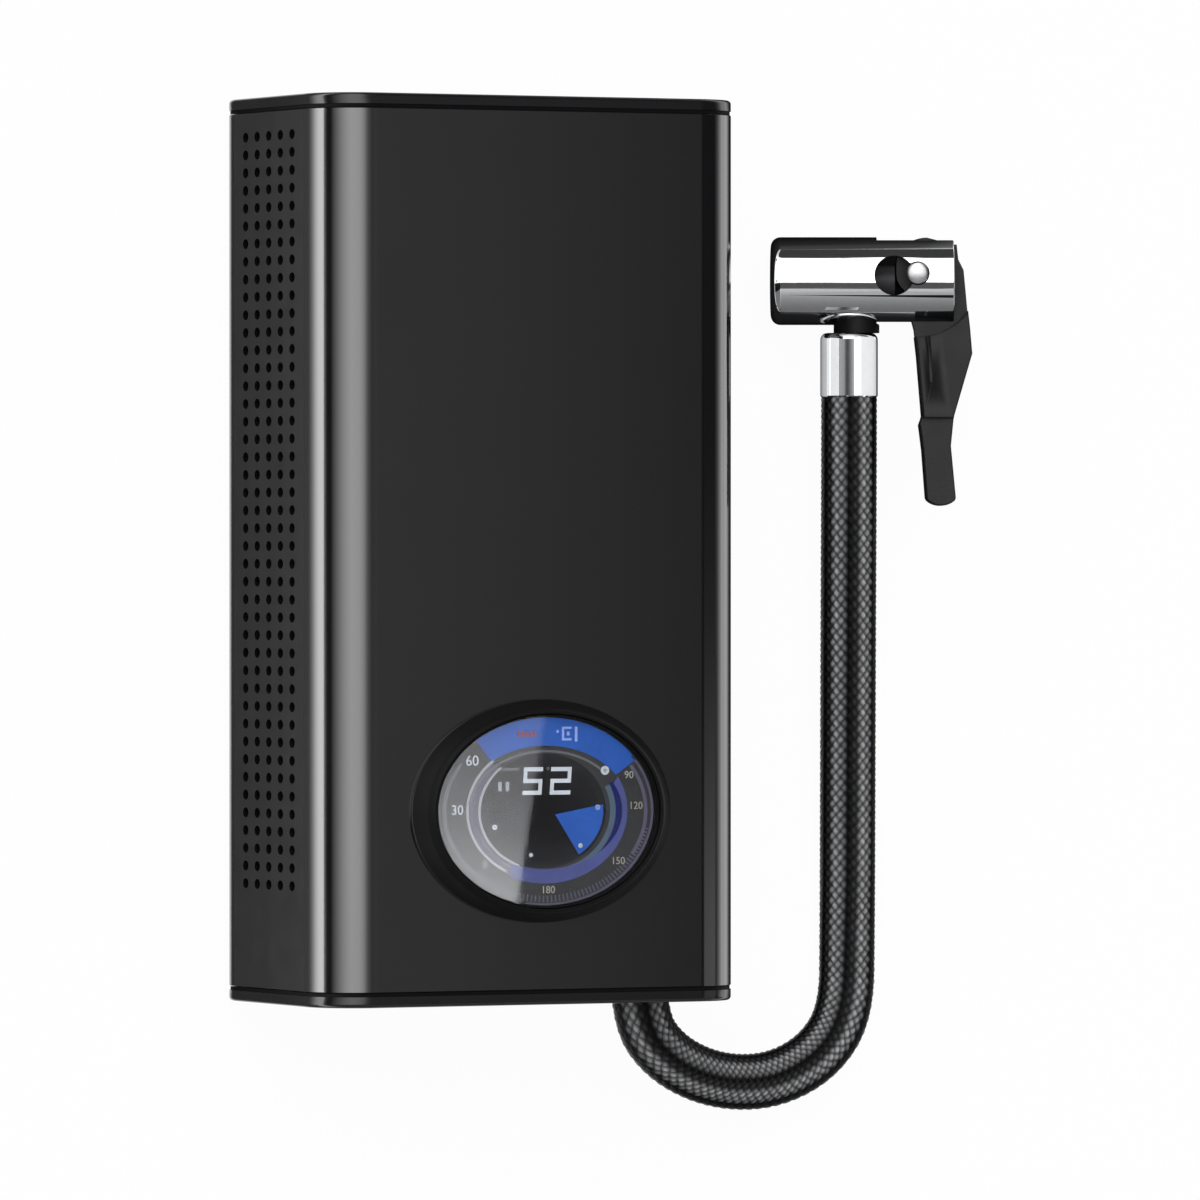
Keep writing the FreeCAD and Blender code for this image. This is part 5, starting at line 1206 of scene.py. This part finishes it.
def graded(tree, measure, reach, stops, stop_reach):
    """The level at each place of a measure that goes from minus to plus its reach."""
    share = add_node(tree, "ShaderNodeMapRange", {
        "Value": measure, "From Min": -reach, "From Max": reach})
    ramp = add_node(tree, "ShaderNodeValToRGB", {"Fac": share})
    elements = ramp.color_ramp.elements
    elements.remove(elements[0])
    for count, (place, level) in enumerate(stops):
        at = (place + stop_reach) / (2 * stop_reach)
        stop = elements[0] if count == 0 else elements.new(at)
        stop.position = at
        stop.color = (level / wall_peak, level / wall_peak, level / wall_peak, 1)
    return ramp


studio = bpy.data.worlds.new("studio")
bpy.context.scene.world = studio
studio.use_nodes = True
sky = studio.node_tree
sight = add_node(sky, "ShaderNodeTexCoord").outputs["Generated"]
to_right, to_camera = [
    add_node(sky, "ShaderNodeVectorMath", {0: sight, 1: way}, operation="DOT_PRODUCT")
    for way in (-picture_right, towards_camera)
]
height = add_node(sky, "ShaderNodeSeparateXYZ", {0: sight}).outputs["Y"]
edges = [
    add_node(sky, "ShaderNodeMapRange", {
        "Value": height, "From Min": math.sin(math.radians(dark)),
        "From Max": math.sin(math.radians(lit))}, interpolation_type="SMOOTHSTEP")
    for dark, lit in wall_edges
]
round_about = reckon(sky, "ARCTAN2", to_right.outputs["Value"], to_camera.outputs["Value"])
walls_lit = add_node(sky, "ShaderNodeVectorMath", {
    0: graded(sky, round_about, math.pi, walls, 180), "Scale": reckon(sky, "MULTIPLY", *edges)},
    operation="SCALE")
all_light = add_node(sky, "ShaderNodeVectorMath", {
    0: walls_lit, 1: graded(sky, height, 1.0, ends, 1.0)}, operation="ADD")
feed(sky.nodes["Background"], {"Color": all_light, "Strength": wall_peak})
studio.cycles.sampling_method = "MANUAL"
studio.cycles.sample_map_resolution = 1024


def lit_card(name, rows, peak):
    """A card seen only in reflections; each point in its rows has a level, as a share of a peak."""
    card = bmesh.new()
    levels = card.verts.layers.float.new("card_level")
    made = []
    for row in rows:
        made.append([card.verts.new(place) for place, level in row])
        for vert, (place, level) in zip(made[-1], row):
            vert[levels] = level / peak
    join_rows(card, made, ring=False)
    paint = bpy.data.materials.new(name)
    paint.use_nodes = True
    tree = paint.node_tree
    tree.nodes.remove(tree.nodes["Principled BSDF"])
    level = add_node(tree, "ShaderNodeAttribute", attribute_name="card_level")
    lit = add_node(tree, "ShaderNodeEmission", {"Color": level, "Strength": peak})
    feed(tree.nodes["Material Output"], {"Surface": lit})
    placed = new_piece(name, card, [paint])
    placed.visible_camera = False
    placed.visible_diffuse = False
    placed.visible_transmission = False
    placed.visible_shadow = False


card_height = 0.0008
left_levels = (
    (-2.9, 6.0), (-0.30, 6.2), (-0.239, 6.0), (-0.18, 5.1), (-0.141, 3.8), (-0.122, 2.4),
    (-0.103, 1.2), (-0.092, 0.6), (-0.081, 0.3), (-0.067, 0.26), (-0.056, 0.14), (-0.0435, 0.12),
)
right_places = (0.0435, 0.108, 0.121, 0.139, 0.165, 0.2, 0.32, 0.6, 2.9)
right_levels = (
    (-2.4, 0.05), (-0.1, 0.045), (-0.05, 0.035), (-0.01, 0.018), (0.06, 0.018), (0.085, 0.03),
    (0.1, 0.04), (0.13, 0.075), (0.3, 0.08), (2.4, 0.08),
)
far_levels = (0.2, 0.5, 1.1, 1.7, 2.2, 1.9, 1.9)
board_foot, board_head = (0.314, 0.186), (0.208, 0.307)
board_levels = (
    (-0.14, 0.8), (-0.075, 0.62), (-0.045, 0.32), (-0.015, 0.12), (0.02, 0.04), (0.2, 0.0),
)
lit_card("left_card", [[((x, y, card_height), level) for x, level in left_levels]
                       for y in (-0.6, 0.6)], 6.5)
lit_card("right_card", [[((x, y, card_height), level)
                         for x, level in zip(right_places, (near, near) + far_levels)]
                        for y, near in right_levels], 3.0)
lit_card("right_board", [[((x, y, z), level) for x, z in (board_foot, board_head)]
                         for y, level in board_levels], 1.0)


# The ferrule and the chuck's mouth have small lamps of their own, and the ferrule has a narrow
# dark card in front of it, ferrule_flag. Each lamp lights one piece.

flag_levels = (
    (-4.3, 0.62), (-3.6, 0.52), (-2.2, 0.44), (-1.5, 0.15), (-1.03, 0.09), (-0.6, 0.1),
    (0.09, 0.22), (1.22, 0.55), (1.8, 0.9),
)
flag_ends, flag_gap = (-0.0225, -0.0103), 0.008
lit_card("ferrule_flag", [[(chuck_frame @ Vector((0.001 * u, v, flag_gap)), level)
                           for u, level in flag_levels] for v in flag_ends], 1.5)


def piece_lamp(name, width, height, power, lit_piece):
    """A soft rectangular lamp that lights one piece only, and is never seen itself."""
    lamp = bpy.data.lights.new(name, "AREA")
    lamp.shape = "RECTANGLE"
    lamp.size = width
    lamp.size_y = height
    lamp.energy = power
    placed = bpy.data.objects.new(name, lamp)
    bpy.context.scene.collection.objects.link(placed)
    placed.visible_camera = False
    only_piece = bpy.data.collections.new(name)
    only_piece.objects.link(lit_piece)
    placed.light_linking.receiver_collection = only_piece
    return placed


by_ferrule, by_mouth = Vector((0.0, -0.0158, 0.0)), Vector((-0.0135, 0.0068, 0.0075))
under_mouth = Vector((-0.0135, -0.0180, 0.0075))
for name, lit_piece, place, turn, gap, width, height, level in (
    ("ferrule_left", ferrule, by_ferrule, 76.0, 0.025, 0.039, 0.030, 1.25),
    ("ferrule_low", ferrule, by_ferrule, 118.0, 0.012, 0.016, 0.030, 0.8),
    ("ferrule_right", ferrule, by_ferrule, -70.0, 0.0098, 0.024, 0.030, 1.3),
    ("mouth_left", barrel, by_mouth, 45.0, 0.006, 0.0110, 0.0156, 1.9),
    ("mouth_low", barrel, under_mouth, 48.0, 0.006, 0.0120, 0.0270, 0.25),
):
    strip_lamp = piece_lamp(name, width, height, level * math.pi * width * height, lit_piece)
    strip_lamp.visible_diffuse = False
    turn = math.radians(turn)
    out = Vector((-math.sin(turn), 0, math.cos(turn)))
    across = Vector((math.cos(turn), 0, math.sin(turn)))
    strip_lamp.matrix_world = chuck_frame @ standing(across, chuck_v, out, place + gap * out)


# A lamp over the gauge that only its window reflects, brighter towards the hose's bend. It gives
# the window its pale half, with a straight edge across the dial.

glare_lamp = piece_lamp("window_glare", 0.060, 0.110, 0.199, window_piece)
glare_lamp.location = (0.1636, -0.058, 0.4534)
glare_lamp.rotation_euler = (0, 0, math.radians(-9.4))
glare_lamp.data.use_nodes = True
glare = glare_lamp.data.node_tree
on_lamp = add_node(glare, "ShaderNodeNewGeometry").outputs["Parametric"]
along_lamp = add_node(glare, "ShaderNodeSeparateXYZ", {0: on_lamp}).outputs["Y"]
fall = add_node(glare, "ShaderNodeValToRGB", {"Fac": along_lamp})
fall_ends = fall.color_ramp.elements
fall_ends[0].position = 0.3
fall_ends[0].color = (1, 1, 1, 1)
fall_ends[1].position = 0.7
fall_ends[1].color = (0.18, 0.18, 0.19, 1)
fall_ends.new(0.5).color = (0.46, 0.46, 0.47, 1)
feed(glare.nodes["Emission"], {"Color": fall})


# The camera, two metres off with a long lens, over the inflator's left side as in the photograph.
# It is aimed a little right of the casing's middle, to take in the hose and the chuck.

casing_middle = Vector((0, 0, body_middle))
camera_target = casing_middle + 0.02198 * picture_right + Vector((0, -0.00912, 0))
camera_place = casing_middle + 2.0 * towards_camera
back = (camera_place - camera_target).normalized()
right = chuck_v.cross(back).normalized()
up = back.cross(right)
eye = bpy.data.cameras.new("camera")
eye.sensor_width = 36
eye.lens = 327
camera = bpy.data.objects.new("camera", eye)
bpy.context.scene.collection.objects.link(camera)
camera.matrix_world = standing(right, up, back, camera_place)
bpy.context.scene.camera = camera
bpy.context.scene.view_settings.view_transform = "Standard"
